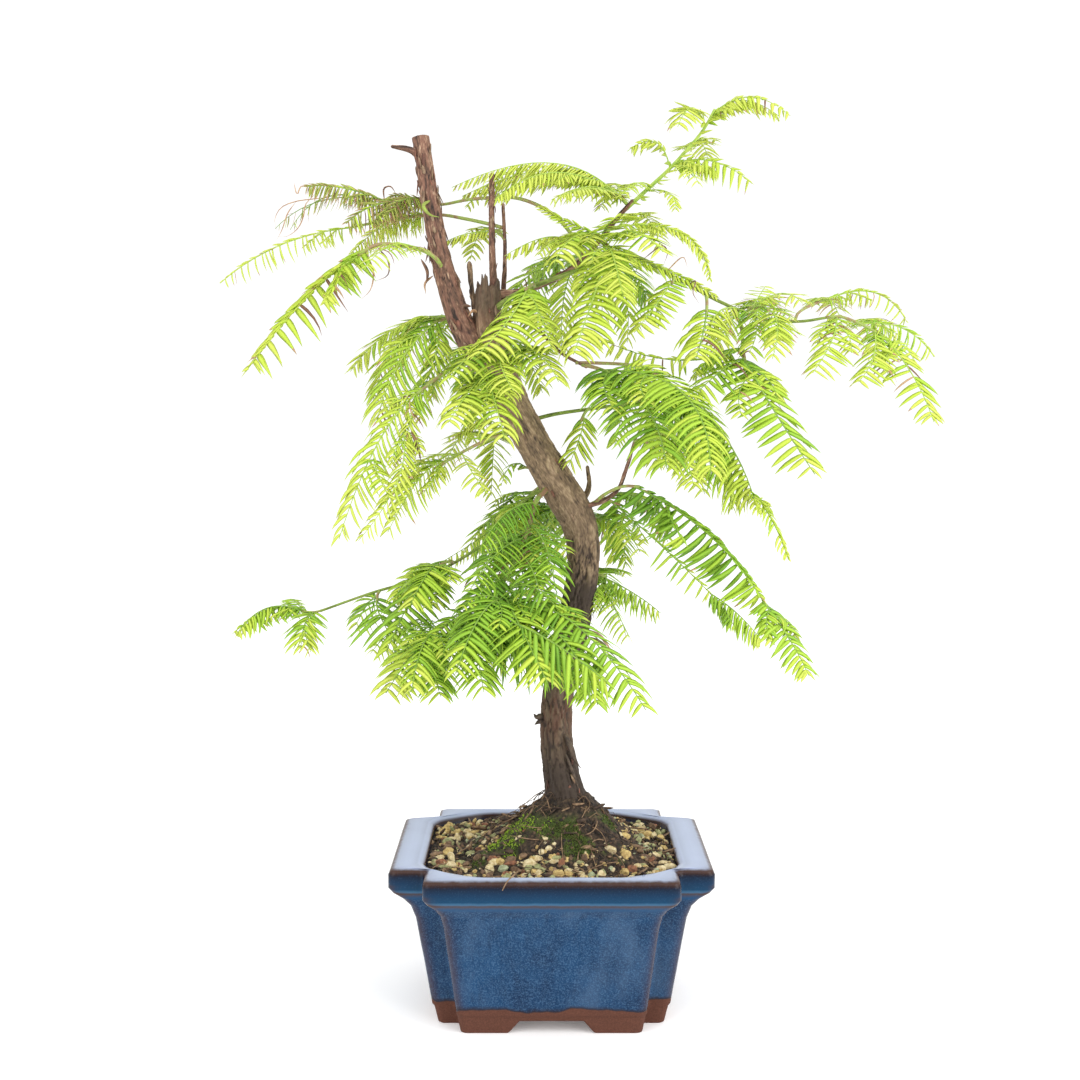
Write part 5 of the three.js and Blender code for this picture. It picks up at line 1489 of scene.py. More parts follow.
@dataclass
class Pot:
    """Rectangular pot with square bites out of its corners, a wide rim bar and four corner feet.

    Args:
        levels: height, half width, half depth, corner bite and corner rounding from foot to rim.
        hollow: height, half width and half depth of the hollow.
        hollow_cut: how far the hollow's corners are cut off along each side.
        foot_cut: half widths of the gap between the feet at the ground and at its roof, front then side.
        recess: half width and half depth of the space under the floor.
        bands: height and spread of the two bands where the glaze wears thin.
        corner_steps: number of points round a rounded corner.
    """

    levels: tuple[tuple[float, ...], ...] = (
        (0, 53, 44.8, 11, 3), (8, 54.8, 46, 11.5, 3.2), (9, 55.8, 46.6, 12, 3.6), (32, 59.6, 49.8, 13, 3.8),
        (52, 62.8, 52.8, 13.8, 3.8), (58, 65, 54.6, 14.6, 3.8), (62, 68.6, 57, 15.6, 3.8),
        (65, 73, 59, 16.6, 3.6), (67.5, POT_HALF_WIDTH, POT_HALF_DEPTH, RIM_NOTCH + 1, 3.4),
        (73.5, POT_HALF_WIDTH, POT_HALF_DEPTH, RIM_NOTCH + 1, 3.4), (75.6, 74, 59, RIM_NOTCH + 0.6, 3),
        (POT_HEIGHT, 71.6, 56.6, RIM_NOTCH, 2.8),
    )
    hollow: tuple[tuple[float, float, float], ...] = (
        (POT_HEIGHT, 61.4, 53.1), (76.1, 59.9, 52.1), (75, 58.8, 51.2), (70, 58, 50), (45, 52, 44),
        (FLOOR_TOP, 46, 39.5),
    )
    hollow_cut: Pair = (26, 15.5)
    foot_cut: tuple[Pair, Pair] = ((19.8, 14.5), (14.8, 10))
    recess: Pair = (38, 31)
    bands: tuple[Pair, ...] = ((75.4, 0.7), (65.2, 0.5))
    corner_steps: int = 7

    def outline(self, half_width: float, half_depth: float, bite: float, rounding: float) -> Array:
        """Plan of a level: straight sides, two rounded outer corners a quarter and a rounded inner one.

        Args:
            half_width: half its width.
            half_depth: half its depth.
            bite: side of the square that each corner lacks.
            rounding: radius of the outer corners.

        Returns:
            Points round it, anticlockwise.
        """
        x, y, r, n = half_width, half_depth, rounding, self.corner_steps
        fillet = 0.8 * r
        quarter = np.concatenate([
            line((x, 0), (x, y - bite - r), 22),
            arc((x - r, y - bite - r), r, 0, 90, n),
            line((x - r - 0.6, y - bite), (x - bite + fillet, y - bite), 6),
            arc((x - bite + fillet, y - bite + fillet), fillet, 270, 180, 5),
            line((x - bite, y - bite + fillet + 0.6), (x - bite, y - r), 6),
            arc((x - bite - r, y - r), r, 0, 90, n),
            line((x - bite - r - 0.8, y), (0, y), 34),
            np.array([[0.0, y]]),
        ])
        return around_four(quarter)

    def opening(self, half_width: float, half_depth: float) -> Array:
        """Plan of the hollow: straight sides joined by a slanted curve across each corner.

        Args:
            half_width: half of the hollow's width.
            half_depth: half of its depth.

        Returns:
            The outline's points, anticlockwise.
        """
        a, b = self.hollow_cut
        shares = ((0, 1.3), (0.14, 0.86), (0.86, 0.14), (1.15, 0))
        corner = [(half_width - u * a, half_depth - v * b, 0) for u, v in shares]
        bend = way(corner, 2 * self.corner_steps + 16)[0][:, :2]
        quarter = np.concatenate([
            line((half_width, 0), tuple(corner[0][:2]), 22),
            bend,
            line((corner[3][0] - 0.6, half_depth), (0, half_depth), 34),
            np.array([[0.0, half_depth]]),
        ])
        return around_four(quarter)

    def foot_height(self, plan: Array) -> Array:
        """Height of the underside below outline points: 0 at the feet, else the roof of the gaps.

        Args:
            plan: the outline's points.

        Returns:
            One height for each point.
        """
        gaps = []
        for (low, high), offset in zip(self.foot_cut, np.abs(plan).T):
            gaps.append(np.clip((low - offset) / (low - high), 0, 1))
        return FOOT_HEIGHT * np.maximum(*gaps)

    def under(self, plan: Array) -> Array:
        """Plan of the recess: the same points, drawn in beyond the gaps to the recess's half sizes.

        Args:
            plan: the outline's points.

        Returns:
            One point of the recess for each.
        """
        drawn = []
        for value, (gap, _), wide, limit in zip(plan.T, self.foot_cut, np.abs(plan).max(axis=0), self.recess):
            size = np.abs(value)
            inner = np.where(size < gap, size, gap + (size - gap) * (limit - gap) / (wide - gap))
            drawn.append(np.sign(value) * inner)
        return np.stack(drawn, axis=-1)

    def shell(self) -> Shell:
        """Rings from the middle of the underside, out and up the wall, over the rim and down inside.

        Returns:
            The pot as one closed shell.
        """
        levels = np.array(self.levels)
        fine = way(levels[:, [0, 1, 3]], 70)[0]
        heights = np.sort(np.concatenate([fine[:, 0], levels[:, 0]]))
        sizes = [np.interp(heights, levels[:, 0], levels[:, k]) for k in range(1, 5)]
        bottom = self.outline(*self.levels[0][1:])
        feet = self.foot_height(bottom)
        under = self.under(bottom)
        rows = [(under * share, np.full(len(under), FOOT_HEIGHT)) for share in (0.03, 0.5, 0.97)]
        rows += [(under, blend(FOOT_HEIGHT, feet, share)) for share in (0.1, 0.9)]
        rows += [(blend(under, bottom, share), feet) for share in (0.04, 0.5, 0.97)]
        for z, *size in zip(heights, *sizes):
            rows.append((self.outline(*size), np.maximum(z, feet + 0.3)))
        plan = self.outline(*self.levels[-1][1:])
        lip = self.opening(*self.hollow[0][1:])
        for share in (0.15, 0.4, 0.65, 0.9):
            crown = 0.35 * math.sin(math.pi * share)
            rows.append((blend(plan, lip, share), np.full(len(plan), POT_HEIGHT + crown)))
        for z, x, y in self.hollow:
            rows.append((self.opening(x, y), np.full(len(plan), z)))
        rows.append((self.opening(*self.hollow[-1][1:]) * 0.03, np.full(len(plan), FLOOR_TOP)))
        rings = np.array([np.column_stack(row) for row in rows])
        wavy = layered(rings / 22, 3)[..., None] * np.array([0.22, 0.22, 0.1])
        rings = rings + wavy * ease(0, 8, rings[..., 2:])
        return ringed(rings[None], marks=self.marks(rings))

    def marks(self, rings: Array) -> dict[str, Array]:
        """What the glaze reads at each point.

        Args:
            rings: points, as (rings, corners, 3).

        Returns:
            edge: near 1 where the skin turns outward sharply or a band runs; top: 1 on the rim's upper side.
        """
        around = unit(np.roll(rings, -1, axis=1) - rings)
        turn = np.clip(np.cross(np.roll(around, 2, axis=1), around)[..., 2], 0, 1)
        turn = sum(np.roll(turn, k, axis=1) for k in range(-3, 4)) / 3
        z = rings[..., 2]
        outer = np.abs(rings[..., :2]).max(axis=-1) > 40
        bands = sum(hump(level, spread, z) for level, spread in self.bands)
        wall = (z < 70) & (z > 10)
        edge = np.clip(turn * np.where(wall, 0.75, 0.3) + bands * 0.75 * outer, 0, 1)
        inside = np.arange(len(rings))[:, None] >= len(rings) - len(self.hollow) - 1
        top = np.where(inside, ease(75, 75.6, z), ease(76.2, 76.9, z))
        return {"edge": edge[None], "top": top[None]}

    def build(self) -> None:
        """Makes the glazed body in place of the frame's pot."""
        make_piece("pot_body", self.shell(), [GlazeFinish().make()], ["pot"])


# Finish and share of each kind of stone, and of each kind of crumb.
STONES = (
    (StoneFinish("stone_cream", (0.68, 0.58, 0.36), (0.46, 0.35, 0.17)), 0.26),
    (StoneFinish("stone_ochre", (0.6, 0.45, 0.18), (0.36, 0.24, 0.09)), 0.28),
    (StoneFinish("stone_olive", (0.36, 0.36, 0.17), (0.2, 0.2, 0.09)), 0.17),
    (StoneFinish("stone_green", (0.4, 0.43, 0.27), (0.27, 0.3, 0.17)), 0.06),
    (StoneFinish("stone_brown", (0.2, 0.12, 0.07), (0.1, 0.06, 0.035)), 0.18),
    (StoneFinish("stone_rust", (0.28, 0.12, 0.06), (0.14, 0.06, 0.035)), 0.05),
)
CRUMBS = (
    (StoneFinish("crumb_dark", (0.035, 0.024, 0.017), (0.012, 0.009, 0.007)), 0.65),
    (StoneFinish("crumb_brown", (0.13, 0.08, 0.045), (0.05, 0.03, 0.018)), 0.35),
)


@dataclass
class SoilBed:
    """Soil heaped round the foot of the trunk, with grains, chips, moss and roots on it.

    Args:
        pot: the pot that it fills.
        stone_count: number of places tried for stones; those in the moss and high up are left out.
        stone_heights: heights between which the stones thin out.
        large_share: share of the stones that are large.
        large: least and most half size of a large stone.
        small: the same of the others.
        crumb_count: number of crumbs.
        crumb: least and most half size of a crumb.
        chip_count: number of bark chips.
        root_count: number of fine roots.
        moss_count: number of shoots of moss.
        moss_patch: middle of the moss in plan, and its reach each way.
        moss_top: heights between which it ends.
        bright_patch: middle and reach of its brightest part.
        root_reach: half width and half depth that the roots keep to.
        stray_root: points of the one root that hangs over the front rim.
        seed: number of the bed's random draws.
    """

    pot: Pot
    stone_count: int = 1220
    stone_heights: Pair = (77, 90)
    large_share: float = 0.14
    large: Pair = (2, 3.1)
    small: Pair = (0.7, 1.8)
    crumb_count: int = 2000
    crumb: Pair = (0.45, 1.15)
    chip_count: int = 280
    root_count: int = 170
    moss_count: int = 5600
    moss_patch: tuple[Pair, Pair] = ((0.5, -10), (46, 28))
    moss_top: Pair = (89, 96)
    bright_patch: tuple[Pair, Pair] = ((-17, -16), (19, 15))
    root_reach: Pair = (58, 45)
    stray_root: tuple[Triple, ...] = (
        (-14, -38, 74.5), (-15, -46, 77), (-17, -54, 77.9), (-20, -60.5, 77), (-22, -62, 73.5),
    )
    seed: int = 11

    @staticmethod
    def rise(share: Array) -> Array:
        """Share of the heap's height at a share of the way in: level for three tenths, then the power 1.3."""
        return np.clip((share - 0.3) / 0.7, 0, 1) ** 1.3

    def place(self, angle_share: Array, share: Array) -> Array:
        """Points of the heap.

        Args:
            angle_share: share of the way round.
            share: share of the way in, from the rim (0) to the trunk's foot (1).

        Returns:
            Places: in plan between the rim and the foot, and in height by the rise, with lumps of noise.
        """
        edge = self.pot.opening(*SOIL_SIDES)
        at = np.mod(angle_share, 1) * len(edge)
        low = np.floor(at).astype(int) % len(edge)
        rim = blend(edge[low], edge[(low + 1) % len(edge)], (at - np.floor(at))[..., None])
        angle = np.arctan2(rim[..., 1], rim[..., 0])
        foot = np.array(TRUNK_FOOT) + 10 * np.stack([np.cos(angle), np.sin(angle)], axis=-1)
        flat = blend(rim, foot, share[..., None])
        rise = self.rise(share)
        lumps = layered(np.concatenate([flat / 7, 0 * rise[..., None]], axis=-1), 5) * 1.1
        z = SOIL_EDGE - 0.6 + (SOIL_CROWN - SOIL_EDGE) * rise + lumps * ease(0, 0.12, share)
        return np.concatenate([flat, z[..., None]], axis=-1)

    def spots(self, rng: np.random.Generator, count: int, low: float = 0.01, high: float = 0.97) -> Array:
        """Random places on the heap, thinned toward the trunk so that they lie evenly.

        Args:
            rng: source of the places.
            count: number of places.
            low: share of the way in that they start from.
            high: share of the way in that they end at.
        """
        share = 1 - np.sqrt(rng.uniform((1 - high) ** 2, (1 - low) ** 2, count))
        return self.place(rng.uniform(0, 1, count), share)

    def mossy(self, at: Array) -> Array:
        """How mossy the heap is: round the trunk's front and left, in patches of noise.

        Args:
            at: places.

        Returns:
            A share for each place, 1 in the thick of the moss.
        """
        patches = layered(at * np.array([1, 1, 0.3]) / 9, 21)
        near = 0.58 - from_patch(at, *self.moss_patch) + 1.1 * patches
        return ease(0, 0.4, near) * (1 - ease(*self.moss_top, at[..., 2]))

    def bed(self) -> Shell:
        """Closed body: rings under the surface, then the heap's own rings up to the trunk.

        Returns:
            One shell, marked with its moss and its lumps.
        """
        ring = np.linspace(0, 1, 420, endpoint=False)
        shares = np.linspace(0, 1, 80)
        top = self.place(*np.broadcast_arrays(ring[None, :], shares[:, None]))
        crumbs = layered(top / 1.5, 9) * 0.55 + layered(top / 4, 12) * 0.6
        top[..., 2] += crumbs * ease(0, 0.05, shares)[:, None]
        low = top[:1] * (0.8, 0.8, 0) + (0, 0, SOIL_EDGE - 16)
        wall = top[:1] * (1, 1, 0) + (0, 0, SOIL_EDGE - 6)
        rings = np.concatenate([low, wall, top, top[-1:] * (0.2, 0.2, 1) + (TRUNK_FOOT[0] * 0.8, 0, 0)])
        marks = {"mossy": self.mossy(rings)[None], "lump": layered(rings / 1.5, 9)[None]}
        return ringed(rings[None], marks=marks)

    def bed_finish(self) -> bpy.types.Material:
        """Dark humus, browner on its lumps, and green where it is mossy.

        Returns:
            The finished material.
        """
        shader = Shader("soil_humus")
        fine = shader.noise(shader.place(), 900, 4)
        level = shader.mark("lump") * 0.5 + fine * 0.8
        dark, brown, pale = (0.012, 0.008, 0.006), (0.05, 0.032, 0.02), (0.13, 0.085, 0.05)
        earth = shader.ramp(level, (0.2, dark), (0.5, brown), (0.8, pale))
        green = shader.mix(fine, (0.03, 0.05, 0.01), (0.1, 0.16, 0.022))
        colour = shader.mix(shader.mark("mossy") * 0.8, earth, green)
        return shader.surface(Base_Color=colour, Roughness=0.95, Normal=shader.bump(fine, 0.0008, 0.8))

    def grains(self) -> None:
        """Stones of the mix, sunk by a third, and small dark crumbs between them."""
        rng = np.random.default_rng(self.seed)
        at = self.spots(rng, self.stone_count, high=0.93)
        low = at[:, 2] < rng.uniform(*self.stone_heights, len(at))
        at = at[low & (self.mossy(at) < rng.uniform(0.15, 0.8, len(at)))]
        count = len(at)
        is_large = rng.random(count) < self.large_share
        size = np.where(is_large, rng.uniform(*self.large, count), rng.uniform(*self.small, count))
        sizes = size[:, None] * rng.uniform((0.9, 0.6, 0.45), (1.35, 1.0, 0.75), (count, 3))
        at[:, 2] += 0.3 * size
        kinds = rng.choice(len(STONES), count, p=[share for _, share in STONES])
        shell = stones(self.kept_inside(at, size), sizes, rng, kinds, 0.34)
        make_piece("soil_stones", shell, [finish.make() for finish, _ in STONES], smooth=False)
        at = self.spots(rng, self.crumb_count)
        size = rng.uniform(*self.crumb, len(at))
        sizes = size[:, None] * rng.uniform(0.7, 1.2, (len(at), 3))
        at[:, 2] += 0.35 * size
        kinds = rng.choice(len(CRUMBS), len(at), p=[share for _, share in CRUMBS])
        shell = stones(self.kept_inside(at, size), sizes, rng, kinds, fine=False)
        make_piece("soil_crumbs", shell, [finish.make() for finish, _ in CRUMBS])

    def kept_inside(self, at: Array, room: Array) -> Array:
        """Draws places in from the pot's wall by their own size.

        Args:
            at: middles of the stones or crumbs.
            room: their sizes.

        Returns:
            Their new middles.
        """
        away = np.hypot(at[:, 0], at[:, 1])
        keep = (1 - np.minimum(0.7 * room, 3) / np.maximum(away, 12))[:, None]
        return np.column_stack([at[:, :2] * keep, at[:, 2]])

    def chips(self, rng: np.random.Generator) -> Shell:
        """Bark chips lying flat.

        Args:
            rng: source of the random draws.

        Returns:
            One shell with all the chips.
        """
        at = self.spots(rng, self.chip_count)
        heading = unit(rng.normal(size=at.shape) * (1, 1, 0.22))
        return Blades(
            at + (0, 0, 0.9), heading, rng.normal(size=at.shape) * (1, 1, 0.4), rng.uniform(3, 8.5, len(at)),
            rng.uniform(1.2, 3.2, len(at)), rng.normal(size=at.shape) * 0.08, rng.integers(0, 2, len(at)),
            thick=0.8, profile=FLAKE,
        ).shell()

    def roots(self, rng: np.random.Generator) -> Shell:
        """Fine roots over the heap, more of them near the trunk.

        In plan each is a run of even steps whose heading turns evenly; it arches up by half a sine and its
        end dips into the soil.

        Args:
            rng: source of the random draws.

        Returns:
            One shell with all the roots.
        """
        count = self.root_count
        start = self.place(rng.uniform(0, 1, count), 1 - rng.beta(1.1, 2.2, count) * 0.95)
        angle = rng.uniform(0, 2 * math.pi, count)
        steps = np.linspace(0, 1, 9)
        run = rng.uniform(6, 22, count)
        bend = rng.normal(0, 1.6, count)
        turn = angle[:, None] + bend[:, None] * steps
        moved = np.cumsum(np.stack([np.cos(turn), np.sin(turn)], -1), axis=1) * (run / 9)[:, None, None]
        reach = np.array(self.root_reach)
        flat = np.clip(start[:, None, :2] + moved, -reach, reach)
        arch = 1.1 + 1.6 * np.sin(math.pi * steps) * rng.uniform(0, 1, (count, 1))
        z = self.level(flat) + arch - 0.9 * (steps > 0.95)
        middles = np.concatenate([flat, z[..., None]], axis=-1)
        radii = rng.uniform(0.13, 0.4, (count, 1)) * (1 - 0.55 * steps)
        sides = np.broadcast_to((0.1, 0.2, 1.0), middles.shape)
        return tubes(middles, sides, radii, 5, rng.integers(0, 2, count))

    def rootlet(self) -> Shell:
        """The stray root that leaves the soil and hangs over the front rim, halving in radius.

        Returns:
            The root as one shell.
        """
        at, _ = way(self.stray_root, 14)
        sides = np.broadcast_to((1.0, 0.1, 0.1), at[None].shape)
        return tubes(at[None], sides, np.linspace(0.5, 0.25, len(at))[None], 6, 1)

    def litter(self) -> None:
        """Makes the chips and the roots, both in dark and tan."""
        rng = np.random.default_rng(self.seed + 1)
        finishes = [
            StoneFinish("chip_dark", (0.09, 0.055, 0.035), (0.035, 0.022, 0.015), scale=400).make(),
            StoneFinish("chip_tan", (0.3, 0.19, 0.11), (0.15, 0.09, 0.05), scale=400).make(),
        ]
        make_piece("soil_chips", self.chips(rng), finishes)
        make_piece("soil_roots", Shell.joined([self.roots(rng), self.rootlet()]), finishes)

    def level(self, flat: Array) -> Array:
        """Height of the heap under places, from how far they lie between the rim and the trunk's foot.

        Args:
            flat: places in plan.

        Returns:
            One height for each place.
        """
        x, y = flat[..., 0] - TRUNK_FOOT[0], flat[..., 1] - TRUNK_FOOT[1]
        wide, deep = SOIL_SIDES
        reach = np.maximum(np.abs(x) / (wide - np.where(x > 0, 1, -1) * TRUNK_FOOT[0]), np.abs(y) / deep)
        share = np.clip(1 - reach, 0, 1) * 1.15
        return SOIL_EDGE - 0.4 + (SOIL_CROWN - SOIL_EDGE) * self.rise(share)

    def moss(self) -> None:
        """Cushions of short upright shoots where the heap is mossy."""
        rng = np.random.default_rng(self.seed + 2)
        at = self.spots(rng, 5 * self.moss_count, low=0.2, high=0.99)
        at = at[self.mossy(at) > rng.uniform(0.35, 1.0, len(at))][: self.moss_count]
        count = len(at)
        patch = layered(at / 3.5, 31)
        puff = 0.9 * ease(-0.2, 0.6, patch)
        lit = ease(0.15, 0.6, 1 - from_patch(at, *self.bright_patch) + 0.5 * patch)
        at[:, 2] += puff
        spikes = Blades(
            at, unit(rng.normal(size=at.shape) * 0.5 + (0, 0, 1)), rng.normal(size=at.shape),
            rng.uniform(0.5, 1.25, count), rng.uniform(0.35, 0.65, count), rng.normal(size=at.shape) * 0.25,
            np.where(rng.random(count) < lit, 0, rng.choice((1, 2), count)), thick=0.35, profile=SPIKE,
        )
        finishes = [
            LeafFinish("moss_bright", (0.27, 0.4, 0.035), 0.7).make(),
            LeafFinish("moss_green", (0.09, 0.13, 0.02), 0.7).make(),
            LeafFinish("moss_deep", (0.045, 0.05, 0.015), 0.8).make(),
        ]
        make_piece("soil_moss", spikes.shell(), finishes)

    def build(self) -> None:
        """Makes the bed in place of the frame's soil, then all that lies on it."""
        make_piece("soil_bed", self.bed(), [self.bed_finish()], ["soil"])
        self.grains()
        self.litter()
        self.moss()


@dataclass(frozen=True)
class Relief:
    """How deep a kind of bark is worked, in millimetres.

    Args:
        fissure: depth of the cracks that run along the limb.
        flake: height that plates stand out by.
        grit: height of the fine grain.
        pitch: spacing of the points of the mesh.
    """

    fissure: float
    flake: float
    grit: float
    pitch: float


RELIEFS = {
    Bark.BARK: Relief(0.95, 0.75, 0.16, 0.6),
    Bark.RED_BARK: Relief(0.3, 0.35, 0.1, 0.55),
    Bark.GREEN_STEM: Relief(0.05, 0.04, 0.03, 0.6),
}
# Darker bark up the trunk: share, and the heights that it grows over; a share under 0 fades there instead.
DARKENING_STEPS = ((0.6, 322, 336), (-0.6, 200, 212), (-0.16, 232, 262), (-0.3, 104, 130))
# Share, height and spread of its darkest and its palest place.
DARKENING_HUMPS = ((0.22, 196, 11), (-0.2, 140, 14))
# How much bare wood the end of a limb shows; 1 is all.
WOOD_SHOWS = {"trunk": 0.3, "sawn_trunk": 1.0}


@dataclass
class BarkWork:
    """Trunk, boughs and dead wood with their bark's relief.

    Args:
        limbs: all of them.
        lifted: limb, number, seed and size of the flakes that lift off.
    """

    limbs: tuple[Limb, ...] = LIMBS
    lifted: tuple[tuple[str, int, int, float], ...] = (
        ("trunk", 70, 5, 4), ("sawn_trunk", 90, 6, 5.5),
        ("dead_stick_long", 16, 7, 3.5), ("leader_bough", 14, 8, 3.5),
    )

    def skin(self, limb: Limb) -> Shell:
        """Rings along the limb, pushed in and out by the relief.

        The cracks are the valleys of noise stretched along the limb; plates are cells stretched less. The
        trunk is fluted and flares at its foot; the others swell where they leave what bears them.

        Args:
            limb: the limb.

        Returns:
            One shell, with the marks that the bark's finishes read.
        """
        relief = RELIEFS[limb.bark]
        trunk = limb.name == "trunk"
        length = span(limb.points)
        widest = max(limb.radii)
        corners = int(np.clip(2 * math.pi * widest / relief.pitch, 10, 96))
        steps = int(length / (relief.pitch if widest > 3 else 1.6 * relief.pitch))
        at, along = way(limb.points, steps)
        share = np.linspace(0, 1, steps + 1)[:, None]
        angle = np.linspace(0, 2 * math.pi, corners, endpoint=False)[None, :]
        if trunk:
            flutes = 0.06 * np.cos(3 * angle + 9 * share) + 0.05 * np.cos(5 * angle - 14 * share)
            swell = 1 + flutes + 0.2 * np.exp(-share * 24)
        else:
            swell = (1 + 0.25 * np.exp(-share * length / (2.2 * widest))) * np.ones_like(angle)
        radius = limb.radius(share) * swell
        number = 31 * len(limb.name) + ord(limb.name[0])
        parts = np.broadcast_arrays(widest * np.cos(angle), widest * np.sin(angle), share * length)
        lie = np.stack(parts, axis=-1)
        twist = lie + 0.9 * layered(lie / 9, number)[..., None]
        worked = 1 - 0.8 * ease(205, 235, at[:, None, 2]) if trunk else 1.0
        crack = np.abs(layered(twist * (0.5, 0.5, 0.1), number + 1))
        crack = (1 - ease(0, 0.16, crack)) * worked
        edge, plate = plates(twist * (0.3, 0.3, 0.11), number + 2)
        grit = layered(twist * (1.7, 1.7, 0.6), number + 3)
        push = relief.flake * ((plate - 0.5) * ease(0.02, 0.2, edge) - 0.3 * (1 - ease(0, 0.1, edge)))
        push = push - relief.fissure * crack + relief.grit * grit
        push = push * np.minimum(1, radius / 2.2)
        ring = outward(along[:, None], side_ways(along)[:, None], angle[..., None])
        rings = at[:, None] + ring * (radius + push)[..., None]
        # The relief mark: low in cracks and high on plates; the finishes paint shade in the low places and
        # highlights on the high ones.
        level = 0.5 + 0.4 * (plate - 0.5) * ease(0.02, 0.2, edge) - 0.5 * crack + 0.3 * grit
        z = rings[..., 2]
        marks = {
            "relief": level, "blush": self.blush(limb, z), "wood": 0 * level, "damp": self.damp(limb, z),
            "lie": lie * (1, 1, 0.22),
        }
        rings, marks = self.closed(limb, rings, at[-1], along[-1], marks)
        return ringed(rings[None], marks={name: values[None] for name, values in marks.items()})

    def blush(self, limb: Limb, z: Array) -> Array:
        """Share of reddish bark at heights: near the trunk's foot and head, and all over red limbs.

        Args:
            limb: the limb.
            z: the heights.

        Returns:
            One share for each height.
        """
        if limb.name == "trunk":
            return hump(140, 16, z) + 0.5 * ease(305, 330, z)
        if limb.name == "low_left_bough":
            return 2 * ease(212, 242, z)
        return np.full(z.shape, 0.6 if limb.bark is Bark.RED_BARK else 0.2)

    def damp(self, limb: Limb, z: Array) -> Array:
        """Share of darker bark at heights: the trunk's steps and humps added up, and none elsewhere.

        Args:
            limb: the limb.
            z: the heights.

        Returns:
            One share for each height.
        """
        if limb.name != "trunk":
            return np.zeros(z.shape)
        steps = [share * ease(low, high, z) - min(share, 0) for share, low, high in DARKENING_STEPS]
        humps = [share * hump(middle, spread, z) for share, middle, spread in DARKENING_HUMPS]
        return np.clip(sum(steps) + sum(humps), 0, 1)

    def closed(
        self, limb: Limb, rings: Array, middle: Array, along: Array, marks: dict[str, Array]
    ) -> tuple[Array, dict[str, Array]]:
        """Closes the far end: a jagged hollow break on the trunk, a flat cut if sawn, else a point.

        Each further ring is the last one shrunk to a share, and carried on by its rise times the teeth.

        Args:
            limb: the limb.
            rings: its rings.
            middle: middle of the last ring.
            along: heading there.
            marks: values of each point.

        Returns:
            Rings and marks with the end's own added.
        """
        last = rings[-1]
        if limb.name == "trunk":
            teeth = 7 * np.abs(layered(last / 3.1, 77)) + 3 * grain(last * 1.4, 78)
            plan = ((1, 0.45), (0.97, 0.9), (0.9, 1), (0.74, 0.5), (0.5, 0.1), (0.25, -0.2), (0.04, -0.25))
        elif limb.name == "sawn_trunk":
            teeth = np.zeros(len(last))
            plan = ((0.995, 0.0), (0.93, 0.0), (0.6, 0.0), (0.3, 0.0), (0.03, 0.0))
        else:
            teeth = np.full(len(last), 0.8 * limb.radii[-1])
            plan = ((0.8, 0.4), (0.4, 0.85), (0.06, 1.0))
        count = len(plan)
        more = [middle + (last - middle) * shrink + along * (teeth * rise)[:, None] for shrink, rise in plan]
        marks = {name: np.concatenate([v, np.repeat(v[-1:], count, axis=0)]) for name, v in marks.items()}
        marks["lie"][-count:] += np.linspace(0, 2, count)[:, None, None] * (0.4, 0.3, 0)
        if limb.name in WOOD_SHOWS:
            marks["wood"][-count:] = WOOD_SHOWS[limb.name]
            marks["wood"][-count] *= 0.3
        return np.concatenate([rings, more]), marks

    def flakes(self, limb: Limb, count: int, seed: int, size: float) -> Blades:
        """Curled strips of bark that lift off a limb at one end.

        Args:
            limb: the limb.
            count: number of strips.
            seed: number of their random draws.
            size: their usual length.

        Returns:
            The strips, not yet a shell.
        """
        rng = np.random.default_rng(seed)
        steps = 200
        at, along = way(limb.points, steps)
        pick = rng.integers(6, steps - 6, count)
        out = outward(along[pick], side_ways(along)[pick], rng.uniform(0, 2 * math.pi, count)[:, None])
        radius = limb.radius(pick / steps)[:, None]
        heading = along[pick] * rng.choice((-1, 1), count)[:, None]
        return Blades(
            at[pick] + out * (radius - 0.1), unit(heading + 0.1 * out + 0.1 * rng.normal(size=(count, 3))),
            np.cross(heading, out), size * rng.uniform(0.5, 1.4, count),
            size * rng.uniform(0.16, 0.42, count), out * rng.uniform(-0.05, 0.22, (count, 1)),
            rng.integers(0, 2, count),
            thick=0.3, curl=-0.35, profile=FLAKE,
        )

    def build(self) -> None:
        """Makes one piece for each trunk, one for the other limbs of each bark, and the flakes."""
        limbs = {limb.name: limb for limb in self.limbs}
        finishes = {bark: BARK_FINISHES[bark].make() for bark in Bark}
        alone = ("trunk", "sawn_trunk")
        for name in alone:
            bark = limbs[name].bark
            make_piece(f"{name}_bark", self.skin(limbs[name]), [finishes[bark]], [name])
        for bark in Bark:
            group = [limb for limb in self.limbs if limb.bark is bark and limb.name not in alone]
            names = [limb.name for limb in group]
            shell = Shell.joined([self.skin(limb) for limb in group])
            make_piece(f"{bark.value}_limbs", shell, [finishes[bark]], names)
        lifted = [self.flakes(limbs[name], *how).shell() for name, *how in self.lifted]
        tones = [
            StoneFinish("flake_tan", (0.36, 0.25, 0.16), (0.17, 0.1, 0.06), scale=300).make(),
            StoneFinish("flake_red", (0.26, 0.11, 0.07), (0.11, 0.05, 0.035), scale=300).make(),
        ]
        make_piece("bark_flakes", Shell.joined(lifted), tones)


# Fresh tints, from new to old growth, darkest last; steps along them also stand for painted light and shade.
LADDER = np.array([tint.value for tint in (Tint.LIME, Tint.SPRING, Tint.LEAF, Tint.DEEP, Tint.SHADE)])


